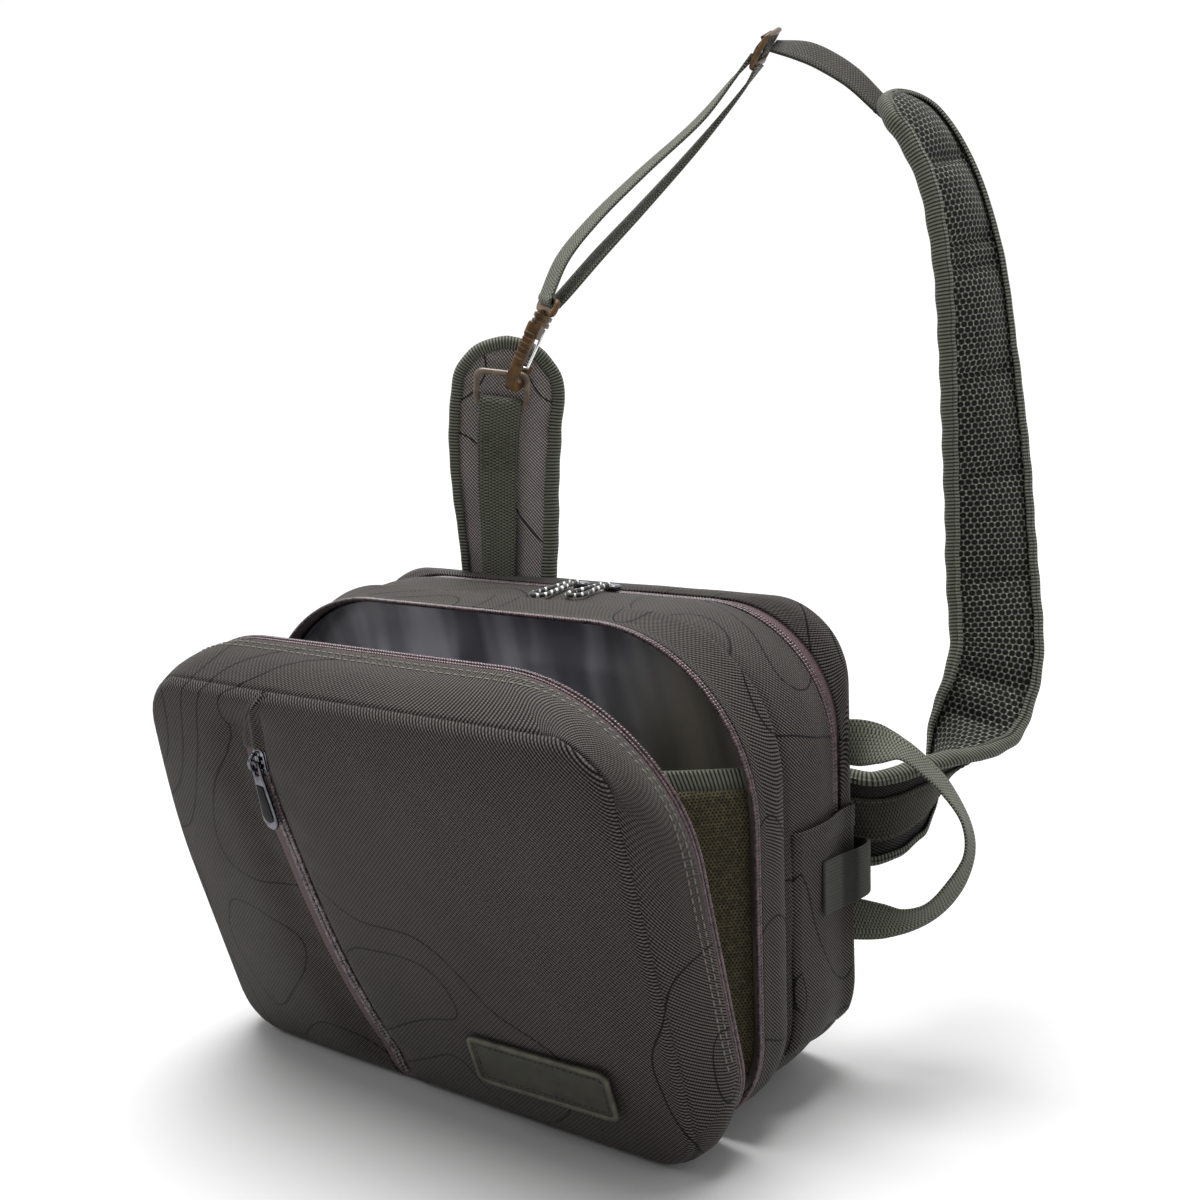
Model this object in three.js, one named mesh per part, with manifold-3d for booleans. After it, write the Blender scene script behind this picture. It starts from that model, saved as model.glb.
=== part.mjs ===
// A sling bag for the bank: front compartment with its lid leaning open, zipped rear compartment,
// a tab with a ring and snap hook, and a padded shoulder strap held up in an arch.
// Millimetres. The tables below use the bag's own frame: x to the right, y to the back, z up,
// z = 0 under the base and y = 0 at the open edge of the body. The whole bag is then moved so that
// the origin is where the strap hangs.
import * as THREE from "three";
import { mergeVertices } from "three/addons/utils/BufferGeometryUtils.js";
import Module from "manifold-3d";

const wasm = await Module();
wasm.setup();

// Driving dimensions
const HANG = new THREE.Vector3(84, 191, 560);
const CLOTH = 2;
const LINING = 1.2;
const GAP = 0.4;
const WEBBING = { width: 25, thick: 1.8 };
const BOTTOM_RADIUS = 55;
const ZIP_END_HEIGHT = 16;

// Cross sections of the body, from front to back: half width, height, top corner radius, foot above the base
const FRONT_SECTIONS = [
  { y: 9, half: 175, height: 262, top: 96, foot: 0 },
  { y: 19, half: 176, height: 264, top: 92, foot: 0 },
  { y: 27, half: 175, height: 265, top: 84, foot: 0 },
  { y: 31, half: 170, height: 258, top: 80, foot: 4 },
];
const REAR_SECTIONS = [
  { y: 33, half: 168, height: 256, top: 78, foot: 5 },
  { y: 40, half: 172, height: 262, top: 80, foot: 0 },
  { y: 64, half: 174, height: 263, top: 80, foot: 0 },
  { y: 88, half: 172, height: 260, top: 76, foot: 0 },
  { y: 98, half: 174, height: 262, top: 54, foot: 0 },
  { y: 104.6, half: 172, height: 260, top: 44, foot: 2 },
];
const BACK_PANEL = { y: 108.6, half: 170.5, height: 257, top: 43, foot: 3, thick: 3 };
const LINING_BACK_Y = 31.5;

// The lid: its zipped edge and its front seam, each a rounded outline on a plane that leans forward
const LID_EDGE = { y: -1.5, z: 1.5, tilt: 15.3, half: 175, height: 261, top: 92, bottom: BOTTOM_RADIUS };
const LID_SEAM = { y: -36, z: -2, tilt: 16.9, half: 164, height: 247, top: 30, bottom: 26, drawIn: 0.13 };
const LID_BULGE = { gusset: 4, front: 9 };

// Zips: tape in the wall's line, coil on its free edge
const ZIP = { tape: 1.4, coil: 3.6, coilWidth: 3.4, depth: 8.6 };
const REAR_ZIP = { y: 88, half: 4.6, endHeight: 147 };
const POCKET_ZIP = { half: 7.5, top: 218, valley: 8, sink: 3.2 };
const POCKET_ZIP_LINE = [
  { up: 247, x: -48 },
  { up: 218, x: -63 },
  { up: 150, x: -61 },
  { up: 85, x: -53 },
  { up: 25, x: -37 },
  { up: 0, x: -27 },
];
const SLIDER = { half: 4.5, length: 12, height: 5.5, up: 207, arch: 4.4, wire: 1 };
const PULL = { length: 40, half: 6.3, thick: 1.8, window: 7.5 };
const BADGE = { x: 85, up: 49, width: 88, height: 31, radius: 5, thick: 2.4 };

// Side bellows between body and lid: top height, how far the fold stands in, height of the bound edge
const BELLOWS = { top: 195, low: 34, fold: 30, inset: 7, bound: 14, boundThick: 2.2 };
const SIDE_POCKET = { top: 153, low: 30, front: 41, back: 102.5, thick: 1.4 };

// Band paths: middle of the band and the direction across it
const SIDE_LOOP = { low: 103, high: 132, thick: 1.6 };
const SIDE_LOOP_PATH = [
  { x: 178.8, y: 61 },
  { x: 179.4, y: 68 },
  { x: 182, y: 82 },
  { x: 184.5, y: 95 },
  { x: 183.5, y: 104 },
  { x: 179, y: 108 },
  { x: 176.5, y: 107.5 },
];
const HANDLE_PATH = [
  { x: 177.5, y: 101, z: 186, ax: 0, ay: 0, az: -1 },
  { x: 190, y: 104, z: 186, ax: 0.33, ay: -0.69, az: -0.64 },
  { x: 201, y: 108, z: 184, ax: 0.32, ay: -0.93, az: -0.16 },
  { x: 211, y: 112, z: 176, ax: 0.22, ay: -0.98, az: 0.02 },
  { x: 222, y: 116, z: 164, ax: 0.24, ay: -0.97, az: 0.08 },
  { x: 232, y: 119, z: 146, ax: 0.24, ay: -0.93, az: 0.27 },
  { x: 234, y: 119, z: 129, ax: 0.19, ay: -0.93, az: 0.32 },
  { x: 227, y: 115, z: 110, ax: 0.1, ay: -0.85, az: 0.52 },
  { x: 217, y: 111, z: 97, ax: 0.14, ay: -0.8, az: 0.58 },
  { x: 204, y: 107, z: 90, ax: 0.22, ay: -0.62, az: 0.75 },
  { x: 190, y: 103, z: 88, ax: 0.16, ay: -0.3, az: 0.94 },
  { x: 177.5, y: 100, z: 87, ax: 0, ay: 0, az: 1 },
];
const PAD = { half: 27, thick: 6, tip: 24, bindingReach: 6.5, bindingWall: 1, clear: 1.3 };
const PAD_PATH = [
  { x: 132, y: 115.4, z: 140, ax: 0, ay: 0, az: 1 },
  { x: 158, y: 116.2, z: 139, ax: 0, ay: 0.02, az: 1 },
  { x: 178, y: 124, z: 138, ax: 0.1, ay: 0.05, az: 0.99 },
  { x: 191, y: 144, z: 145, ax: 0.35, ay: 0.2, az: 0.91 },
  { x: 202, y: 172, z: 162, ax: 0.58, ay: 0.42, az: 0.7 },
  { x: 209, y: 198, z: 188, ax: 0.71, ay: 0.57, az: 0.41 },
  { x: 211, y: 212, z: 218, ax: 0.77, ay: 0.61, az: 0.19 },
  { x: 205, y: 220, z: 262, ax: 0.74, ay: 0.67, az: 0.07 },
  { x: 200, y: 225, z: 317, ax: 0.65, ay: 0.76, az: -0.02 },
  { x: 194, y: 226, z: 384, ax: 0.45, ay: 0.89, az: -0.02 },
  { x: 188, y: 224, z: 442, ax: 0.3, ay: 0.95, az: 0.05 },
  { x: 176, y: 222, z: 488, ax: 0.12, ay: 0.98, az: 0.16 },
  { x: 160, y: 219, z: 516, ax: 0.02, ay: 0.97, az: 0.25 },
  { x: 142, y: 214, z: 533, ax: -0.08, ay: 0.95, az: 0.28 },
];
const STRAP_PATH = [
  { x: 131, y: 210, z: 539, ax: -0.1, ay: 0.91, az: 0.4 },
  { x: 117, y: 204, z: 550, ax: -0.1, ay: 0.87, az: 0.48 },
  { x: 102, y: 198, z: 559, ax: -0.12, ay: 0.86, az: 0.5 },
  { x: 84.5, y: 189.8, z: 564, ax: -0.23, ay: 0.9, az: 0.33 },
];
const UPPER_STRAND = [
  { x: 73.7, y: 184.9, z: 559.3, ax: -0.26, ay: 0.91, az: 0.28 },
  { x: 64, y: 180, z: 548, ax: -0.58, ay: 0.8, az: 0.1 },
  { x: 47, y: 169, z: 526, ax: -0.7, ay: 0.7, az: 0.1 },
  { x: 18, y: 149, z: 497, ax: -0.74, ay: 0.66, az: 0.12 },
  { x: -6, y: 132, z: 471, ax: -0.77, ay: 0.62, az: 0.13 },
  { x: -19, y: 118.5, z: 450, ax: -0.79, ay: 0.6, az: 0.14 },
];
const LOWER_STRAND = [
  { x: -2, y: 132, z: 452, ax: -0.78, ay: 0.61, az: 0.13 },
  { x: 19, y: 150, z: 479, ax: -0.74, ay: 0.66, az: 0.12 },
  { x: 46, y: 170, z: 513, ax: -0.68, ay: 0.73, az: 0.1 },
  { x: 69, y: 184, z: 543, ax: -0.55, ay: 0.82, az: 0.1 },
  { x: 77.9, y: 186, z: 554.2, ax: -0.26, ay: 0.91, az: 0.28 },
];
const ADJUSTER = { x: 79.5, y: 187.6, z: 563.5, length: 22, width: 34, bar: 3.6, thick: 3 };
const ADJUSTER_POSE = {
  across: new THREE.Vector3(-0.27, 0.91, 0.28),
  rise: new THREE.Vector3(0.45, 0.3, 0.84),
};

// The tab: middle of each section, and how far it turns to the right
const TAB = { half: 35, thick: 7, tip: 35, bindingReach: 7.5, bindingWall: 1, clear: GAP };
const TAB_PATH = [
  { x: -60, y: 104, z: 262.8, turn: 2 },
  { x: -60, y: 105, z: 290, turn: 10 },
  { x: -61, y: 106, z: 320, turn: 20 },
  { x: -60, y: 107, z: 350, turn: 29 },
  { x: -55.5, y: 108, z: 380, turn: 34 },
  { x: -50, y: 108.5, z: 406, turn: 36 },
];
const TAB_WEBBING = { shift: -2.5, patchFoot: 326, ringShare: 0.725 };
const RING = { width: 34, height: 24.5, wire: 3.6, thick: 3.4, lean: 20 };
const HOOK = { gape: 5.2, spine: 5, thick: 7, length: 42, collar: 7 };
const HOOK_EYE = { width: 37, height: 11, wire: 3.4, turn: 36 };
const HOOK_POSE = {
  alongRing: 9.5,
  side: new THREE.Vector3(-0.348, 0.928, -0.136),
  axis: new THREE.Vector3(0.358, 0.268, 0.894),
};
const GATE = { wire: 1.8, width: 5 };
const CORD = { diameter: 2.6, bend: 5.2, height: 264.9 };
const REAR_PULLS = [
  { side: "left", x: 8, length: 46, lean: 7 },
  { side: "right", x: 30, length: 38, lean: 4 },
];
const REAR_SLIDER = { length: 10, width: 7.5, height: 3.2 };

// Materials
const COLOURS = {
  fabric: [0x4b4843, 0.85, 0],
  lining: [0x24252a, 0.45, 0],
  zip: [0x75666a, 0.7, 0],
  mesh: [0x5d5a40, 0.85, 0],
  webbing: [0x585a50, 0.85, 0],
  padMesh: [0x3a3c38, 0.9, 0],
  plastic: [0x5a4a38, 0.45, 0],
  steel: [0xc9c9c9, 0.25, 1],
  chrome: [0x3a3b3f, 0.25, 1],
  rubber: [0x4a493f, 0.6, 0],
  cord: [0x303030, 0.8, 0],
};
const MATERIALS = Object.fromEntries(
  Object.entries(COLOURS).map(([name, [color, roughness, metalness]]) => [
    name,
    new THREE.MeshStandardMaterial({ color, roughness, metalness }),
  ]),
);

const bag = new THREE.Group();
bag.position.copy(HANG).negate();
const root = new THREE.Group();
root.add(bag);

function addPiece(name, geometry, material, parent = bag) {
  const mesh = new THREE.Mesh(geometry, MATERIALS[material]);
  mesh.name = name;
  parent.add(mesh);
  return mesh;
}

const lerp = THREE.MathUtils.lerp;
const smooth = THREE.MathUtils.smoothstep;
const radians = THREE.MathUtils.degToRad;

// A closed geometry from points and triangles, with its faces turned out
function closedGeometry(points, triangles) {
  let volume = 0;
  const product = new THREE.Vector3();
  for (const [a, b, c] of triangles) {
    volume += points[a].dot(product.crossVectors(points[b], points[c]));
  }
  const index = triangles.flatMap(([a, b, c]) => (volume < 0 ? [a, c, b] : [a, b, c]));
  const geometry = new THREE.BufferGeometry();
  geometry.setAttribute("position", new THREE.Float32BufferAttribute(points.flatMap((p) => p.toArray()), 3));
  geometry.setIndex(index);
  geometry.computeVertexNormals();
  return geometry;
}

// A thin wall from a grid of points on its outer face, whose normal is along the rows x along the columns.
// around joins the last column to the first, and cap fills the last row with a fan.
function wall(grid, thick, { around = false, cap = false } = {}) {
  const rows = grid.length;
  const columns = grid[0].length;
  const rowAt = (r) => Math.min(Math.max(r, 0), rows - 1);
  const columnAt = (c) => (around ? (c + columns) % columns : Math.min(Math.max(c, 0), columns - 1));
  const inner = grid.map((line, r) =>
    line.map((p, c) => {
      const alongRows = grid[rowAt(r + 1)][c].clone().sub(grid[rowAt(r - 1)][c]);
      const alongColumns = line[columnAt(c + 1)].clone().sub(line[columnAt(c - 1)]);
      return p.clone().addScaledVector(alongRows.cross(alongColumns).normalize(), -thick);
    }),
  );
  const points = [...grid.flat(), ...inner.flat()];
  const id = (r, c, side) => side * rows * columns + r * columns + columnAt(c);
  const triangles = [];
  const quad = (a, b, c, d) => triangles.push([a, b, c], [a, c, d]);
  const spans = around ? columns : columns - 1;
  const lastRow = rows - 1;
  for (let r = 0; r < lastRow; r++) {
    for (let c = 0; c < spans; c++) {
      quad(id(r, c, 0), id(r + 1, c, 0), id(r + 1, c + 1, 0), id(r, c + 1, 0));
      quad(id(r, c, 1), id(r, c + 1, 1), id(r + 1, c + 1, 1), id(r + 1, c, 1));
    }
  }
  for (let c = 0; c < spans; c++) {
    quad(id(0, c, 0), id(0, c + 1, 0), id(0, c + 1, 1), id(0, c, 1));
    if (!cap) quad(id(lastRow, c + 1, 0), id(lastRow, c, 0), id(lastRow, c, 1), id(lastRow, c + 1, 1));
  }
  if (cap) {
    [grid, inner].forEach((face, side) => {
      const centre = new THREE.Vector3();
      face[lastRow].forEach((p) => centre.addScaledVector(p, 1 / columns));
      points.push(centre);
      for (let c = 0; c < columns; c++) {
        const edge = [id(lastRow, c + 1, side), id(lastRow, c, side)];
        triangles.push([...(side ? edge.reverse() : edge), points.length - 1]);
      }
    });
  }
  if (!around) {
    const lastColumn = columns - 1;
    for (let r = 0; r < lastRow; r++) {
      quad(id(r + 1, 0, 0), id(r, 0, 0), id(r, 0, 1), id(r + 1, 0, 1));
      quad(id(r, lastColumn, 0), id(r + 1, lastColumn, 0), id(r + 1, lastColumn, 1), id(r, lastColumn, 1));
    }
  }
  return closedGeometry(points, triangles);
}

// A profile of [u, v] points, counter-clockwise, carried along frames { at, u, v } and closed at both ends
function sweep(profile, frames) {
  const count = profile.length;
  const points = frames.flatMap(({ at, u, v }) =>
    profile.map(([a, b]) => at.clone().addScaledVector(u, a).addScaledVector(v, b)),
  );
  const triangles = [];
  for (let i = 0; i < frames.length - 1; i++) {
    for (let k = 0; k < count; k++) {
      const a = i * count + k;
      const b = i * count + ((k + 1) % count);
      triangles.push([a, b, b + count], [a, b + count, a + count]);
    }
  }
  const end = (frames.length - 1) * count;
  const ends = THREE.ShapeUtils.triangulateShape(profile.map(([a, b]) => new THREE.Vector2(a, b)), []);
  for (const [a, b, c] of ends) triangles.push([c, b, a], [end + a, end + b, end + c]);
  return closedGeometry(points, triangles);
}

const rectangle = (u0, u1, v0, v1) => [[u0, v0], [u1, v0], [u1, v1], [u0, v1]];

// Joins and cuts on closed geometries
function toSolid(geometry) {
  const bare = geometry.clone();
  bare.deleteAttribute("normal");
  bare.deleteAttribute("uv");
  const merged = mergeVertices(bare, 1e-4);
  return new wasm.Manifold(
    new wasm.Mesh({
      numProp: 3,
      vertProperties: new Float32Array(merged.attributes.position.array),
      triVerts: new Uint32Array(merged.index.array),
    }),
  );
}

function toGeometry(solid) {
  const mesh = solid.getMesh();
  const geometry = new THREE.BufferGeometry();
  geometry.setAttribute("position", new THREE.BufferAttribute(new Float32Array(mesh.vertProperties), 3));
  geometry.setIndex(new THREE.BufferAttribute(new Uint32Array(mesh.triVerts), 1));
  geometry.computeVertexNormals();
  return geometry;
}

const join = (...geometries) => toGeometry(geometries.map(toSolid).reduce((a, b) => a.add(b)));
const cut = (geometry, tool) => toGeometry(toSolid(geometry).subtract(toSolid(tool)));

// Outline of a section, counter-clockwise from the right side's foot: { x, up } with its outward normal
const OUTLINE_STEPS = { side: 3, topCorner: 6, top: 4, bottomCorner: 4, bottom: 3 };

function outline({ half, height, top, bottom = BOTTOM_RADIUS }) {
  const points = [];
  const line = (x0, up0, x1, up1, steps) => {
    for (let i = 0; i < steps; i++) {
      const t = i / steps;
      points.push({ x: lerp(x0, x1, t), up: lerp(up0, up1, t) });
    }
  };
  const corner = (x, up, radius, from, steps) => {
    for (let i = 0; i < steps; i++) {
      const angle = from + ((Math.PI / 2) * i) / steps;
      points.push({ x: x + radius * Math.cos(angle), up: up + radius * Math.sin(angle) });
    }
  };
  const { side, topCorner, top: topSteps, bottomCorner, bottom: bottomSteps } = OUTLINE_STEPS;
  line(half, bottom, half, height - top, side);
  corner(half - top, height - top, top, 0, topCorner);
  line(half - top, height, top - half, height, topSteps);
  corner(top - half, height - top, top, Math.PI / 2, topCorner);
  line(-half, height - top, -half, bottom, side);
  corner(bottom - half, bottom, bottom, Math.PI, bottomCorner);
  line(bottom - half, 0, half - bottom, 0, bottomSteps);
  corner(half - bottom, bottom, bottom, -Math.PI / 2, bottomCorner);
  return points.map((p, i) => {
    const next = points[(i + 1) % points.length];
    const last = points[(i + points.length - 1) % points.length];
    const out = new THREE.Vector2(next.up - last.up, last.x - next.x).normalize();
    return { ...p, outX: out.x, outUp: out.y };
  });
}

// Half width of an outline at a height
function halfAt({ half, height, top, bottom = BOTTOM_RADIUS }, up) {
  const round = (radius, drop) => half - radius + Math.sqrt(Math.max(0, radius * radius - drop * drop));
  if (up < bottom) return round(bottom, bottom - up);
  if (up > height - top) return round(top, up - (height - top));
  return half;
}

// Sections between the rows of a table, at any depth
function sectionAt(table, y) {
  const last = table.length - 1;
  const i = Math.min(Math.max(table.findIndex((row) => row.y > y) - 1, 0), last - 1);
  const here = y >= table[last].y ? last - 1 : i;
  const t = THREE.MathUtils.clamp((y - table[here].y) / (table[here + 1].y - table[here].y), 0, 1);
  const mix = (key) => lerp(table[here][key], table[here + 1][key], t);
  return { y, half: mix("half"), height: mix("height"), top: mix("top"), foot: mix("foot") };
}

const sectionRing = (row, grow = 0) =>
  outline(row).map((p) => new THREE.Vector3(p.x + p.outX * grow, row.y, row.foot + p.up + p.outUp * grow));

// A section's points from the right end of its zip over the top to the left end, with frames for a band there
function zipFrames(row, endHeight) {
  const points = outline(row);
  const first = points.findIndex((p, i) => p.up >= endHeight && points.at(i - 1).up < endHeight);
  const run = [...points.slice(first), ...points.slice(0, first)].filter((p) => p.up >= endHeight);
  const foot = points.filter((p) => p.up < endHeight && p.x > 0 && p.up >= BOTTOM_RADIUS).length;
  const drawIn = ({ x, up, ...rest }, to) => ({ ...rest, x: lerp(x, to.x, 0.2), up: lerp(up, to.up, 0.2) });
  const last = run.length - 1;
  const ends = foot
    ? [{ ...run[0], up: endHeight }, ...run, { ...run[last], up: endHeight }]
    : [drawIn(run[0], run[1]), ...run.slice(1, last), drawIn(run[last], run[last - 1])];
  return ends.map((p) => ({
    at: new THREE.Vector3(p.x, row.y, row.foot + p.up),
    u: new THREE.Vector3(p.outX, 0, p.outUp),
    v: new THREE.Vector3(0, 1, 0),
  }));
}

// The lid's front is drawn in towards its upper left corner
const drawnIn = (x, up) => (x < 0 ? x * (1 - LID_SEAM.drawIn * smooth(up, 120, 255)) : x);

// Points of the lid's two planes
function lidPoint(plane, x, up, lift = 0) {
  const tilt = radians(plane.tilt);
  return new THREE.Vector3(
    x,
    plane.y - up * Math.sin(tilt) - lift * Math.cos(tilt),
    plane.z + up * Math.cos(tilt) - lift * Math.sin(tilt),
  );
}

const ZIP_PROFILE = [
  [-1.9, ZIP.coilWidth],
  [-2.5, ZIP.coilWidth],
  [-2.5, 0],
  [ZIP.coil - 2.5, 0],
  [ZIP.coil - 2.5, ZIP.coilWidth],
  [ZIP.tape - 1.9, ZIP.coilWidth],
  [ZIP.tape - 1.9, ZIP.depth],
  [-1.9, ZIP.depth],
];

// Front compartment: its wall stops short of the zip, and reaches the lid along the hinge at the foot
function buildFrontCompartment() {
  const grid = FRONT_SECTIONS.map((row, r) => {
    const ring = sectionRing(row);
    if (r === 0) ring.forEach((p) => (p.y = p.z < ZIP_END_HEIGHT ? GAP : row.y));
    return ring;
  });
  addPiece("front_gusset", wall(grid, CLOTH, { around: true }), "fabric");
  const edge = { ...FRONT_SECTIONS[0], y: 0 };
  addPiece("main_zip_body", sweep(ZIP_PROFILE, zipFrames(edge, ZIP_END_HEIGHT)), "zip");
}

function buildLining() {
  const inset = -(CLOTH + GAP);
  const sides = [10.5, 19, 26].map((y) => sectionRing(sectionAt(FRONT_SECTIONS, y), inset));
  const back = sectionAt(REAR_SECTIONS, REAR_SECTIONS[0].y);
  const panel = [1, 0.6, 0.15].map((share) => {
    const half = (back.half - 6) * share;
    const height = (back.height - 10) * share;
    const corners = { top: back.top * share, bottom: BOTTOM_RADIUS * share };
    const foot = back.foot + (back.height - height) / 2;
    return sectionRing({ y: LINING_BACK_Y, half, height, ...corners, foot });
  });
  addPiece("lining", wall([...sides, ...panel], LINING, { around: true, cap: true }), "lining");
}

function buildRearCompartment() {
  const gusset = wall(REAR_SECTIONS.map((row) => sectionRing(row)), CLOTH, { around: true });
  const line = sectionAt(REAR_SECTIONS, REAR_ZIP.y);
  const slot = rectangle(-9, 6, -REAR_ZIP.half - GAP, REAR_ZIP.half + GAP);
  addPiece("rear_gusset", cut(gusset, sweep(slot, zipFrames(line, REAR_ZIP.endHeight - GAP))), "fabric");
  const coil = 1.7;
  const profile = [
    [-1.9, -REAR_ZIP.half],
    [-0.5, -REAR_ZIP.half],
    [-0.5, -coil],
    [0.9, -coil],
    [0.9, coil],
    [-0.5, coil],
    [-0.5, REAR_ZIP.half],
    [-1.9, REAR_ZIP.half],
  ];
  addPiece("rear_zip", sweep(profile, zipFrames(line, REAR_ZIP.endHeight)), "zip");
  const rows = [0, 10, 25, 55, 120, 214, 235, 248, 255, 257];
  const columns = 8;
  const grid = rows.map((up) =>
    Array.from({ length: columns + 1 }, (_, c) => {
      const reach = halfAt(BACK_PANEL, up);
      return new THREE.Vector3(lerp(-reach, reach, c / columns), BACK_PANEL.y, BACK_PANEL.foot + up);
    }),
  );
  addPiece("back_panel", wall(grid, BACK_PANEL.thick), "fabric");
}

// The pocket zip's line on the lid's face
const zipLine = new THREE.SplineCurve(POCKET_ZIP_LINE.map(({ up, x }) => new THREE.Vector2(x, up)));
const zipLinePoints = zipLine.getPoints(80);

function zipLineX(up) {
  const i = zipLinePoints.findIndex((p) => p.y <= up);
  if (i <= 0) return zipLinePoints[Math.max(i, 0)].x;
  const above = zipLinePoints[i - 1];
  const below = zipLinePoints[i];
  return lerp(below.x, above.x, (up - below.y) / (above.y - below.y));
}

// How far the lid's face stands out of its seam's plane: a soft crown, and a valley along the pocket zip
function faceLift(x, up) {
  const across = Math.abs(x) / LID_SEAM.half;
  const along = Math.abs((2 * up) / LID_SEAM.height - 1);
  const crown = LID_BULGE.front * (1 - across ** 4) * (1 - along ** 6);
  const side = x - zipLineX(up);
  const reach = side < 0 ? 22 : 13;
  const fade = smooth(up, 4, 30) * (1 - smooth(up, 225, 245));
  return CLOTH + GAP + crown - POCKET_ZIP.valley * fade * Math.exp(-((side / reach) ** 2));
}

const zipSink = (up) => POCKET_ZIP.sink * smooth(up, 2, 12) * (1 - smooth(up, 225, 243));

const facePoint = (x, up, lift = 0) => lidPoint(LID_SEAM, x, up, faceLift(x, up) + lift);

// A frame lying on the lid's face, with x across the bag, y up the face and z out of it
function placeOnFace(x, up, lift) {
  const step = 8;
  const right = facePoint(x + step, up).sub(facePoint(x - step, up)).normalize();
  const rise = facePoint(x, up + step).sub(facePoint(x, up - step));
  const out = right.clone().cross(rise).normalize();
  const group = new THREE.Group();
  group.position.copy(facePoint(x, up)).addScaledVector(out, lift);
  turnTo(group, right, out.clone().cross(right));
  bag.add(group);
  return group;
}

function buildLid() {
  const edge = outline(LID_EDGE);
  const seam = outline(LID_SEAM);
  const steps = [0, 0.25, 0.5, 0.75, 1];
  const seamTilt = radians(LID_SEAM.tilt);
  const grid = steps.map((k) =>
    seam.map((p, i) => {
      const front = lidPoint(LID_SEAM, drawnIn(p.x, p.up), p.up);
      const hinge = edge[i].up < ZIP_END_HEIGHT;
      const back = lidPoint(LID_EDGE, edge[i].x, edge[i].up, hinge ? GAP : ZIP.depth + 3 * GAP);
      const out = new THREE.Vector3(p.outX, -p.outUp * Math.sin(seamTilt), p.outUp * Math.cos(seamTilt));
      const swell = hinge ? 0 : LID_BULGE.gusset * Math.sin(Math.PI * k);
      return front.lerp(back, k).addScaledVector(out, swell);
    }),
  );
  addPiece("lid_gusset", wall(grid, CLOTH, { around: true }), "fabric");

  const tilt = radians(LID_EDGE.tilt);
  const frames = zipFrames({ ...LID_EDGE, y: 0, foot: 0 }, ZIP_END_HEIGHT).map(({ at, u }) => ({
    at: lidPoint(LID_EDGE, at.x, at.z),
    u: new THREE.Vector3(u.x, -u.z * Math.sin(tilt), u.z * Math.cos(tilt)),
    v: new THREE.Vector3(0, -Math.cos(tilt), -Math.sin(tilt)),
  }));
  addPiece("main_zip_lid", sweep(ZIP_PROFILE, frames), "zip");

  const heights = [0.4, 5, 12, 25, 45, 70, 95, 120, 145, 170, 195, 215, 230, 240, 246.6];
  const opening = (up) => POCKET_ZIP.half * (1 - 0.9 * smooth(up, POCKET_ZIP.top, LID_SEAM.height)) + GAP;
  const panel = (side, shares) =>
    heights.map((up) => {
      const inner = zipLineX(up) + side * opening(up);
      const outer = drawnIn(side * (halfAt(LID_SEAM, up) - GAP), up);
      const line = shares.map((t) => facePoint(lerp(inner, outer, t), up));
      return side > 0 ? line.reverse() : line;
    });
  addPiece("lid_front_left", wall(panel(-1, [0, 0.1, 0.25, 0.5, 0.75, 1]), CLOTH), "fabric");
  const rightShares = [0, 0.025, 0.07, 0.16, 0.35, 0.55, 0.75, 0.9, 1];
  addPiece("lid_front_right", wall(panel(1, rightShares), CLOTH), "fabric");
  const strip = heights.map((up) => {
    const reach = opening(up) - 2 * GAP;
    return [1, 0.25, -0.25, -1].map((t) => {
      const middle = zipLineX(up);
      return lidPoint(LID_SEAM, middle + t * reach, up, faceLift(middle, up) - zipSink(up));
    });
  });
  addPiece("pocket_zip", wall(strip, ZIP.tape), "zip");
}

// Turns a group so that its x, y run along two directions at right angles
function turnTo(group, x, y) {
  group.quaternion.setFromRotationMatrix(new THREE.Matrix4().makeBasis(x, y, x.clone().cross(y)));
}

function roundedShape(width, height, radius) {
  const x = width / 2 - radius;
  const y = height / 2 - radius;
  const shape = new THREE.Shape();
  shape.absarc(x, y, radius, 0, Math.PI / 2);
  shape.absarc(-x, y, radius, Math.PI / 2, Math.PI);
  shape.absarc(-x, -y, radius, Math.PI, 1.5 * Math.PI);
  shape.absarc(x, -y, radius, 1.5 * Math.PI, 2 * Math.PI);
  shape.closePath();
  return shape;
}

const plate = (shape, depth, curveSegments = 5) =>
  new THREE.ExtrudeGeometry(shape, { depth, bevelEnabled: false, curveSegments });

function buildBadge() {
  const place = placeOnFace(BADGE.x, BADGE.up, 1.6);
  const shape = roundedShape(BADGE.width, BADGE.height, BADGE.radius);
  addPiece("badge", plate(shape, BADGE.thick), "rubber", place);
}

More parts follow.
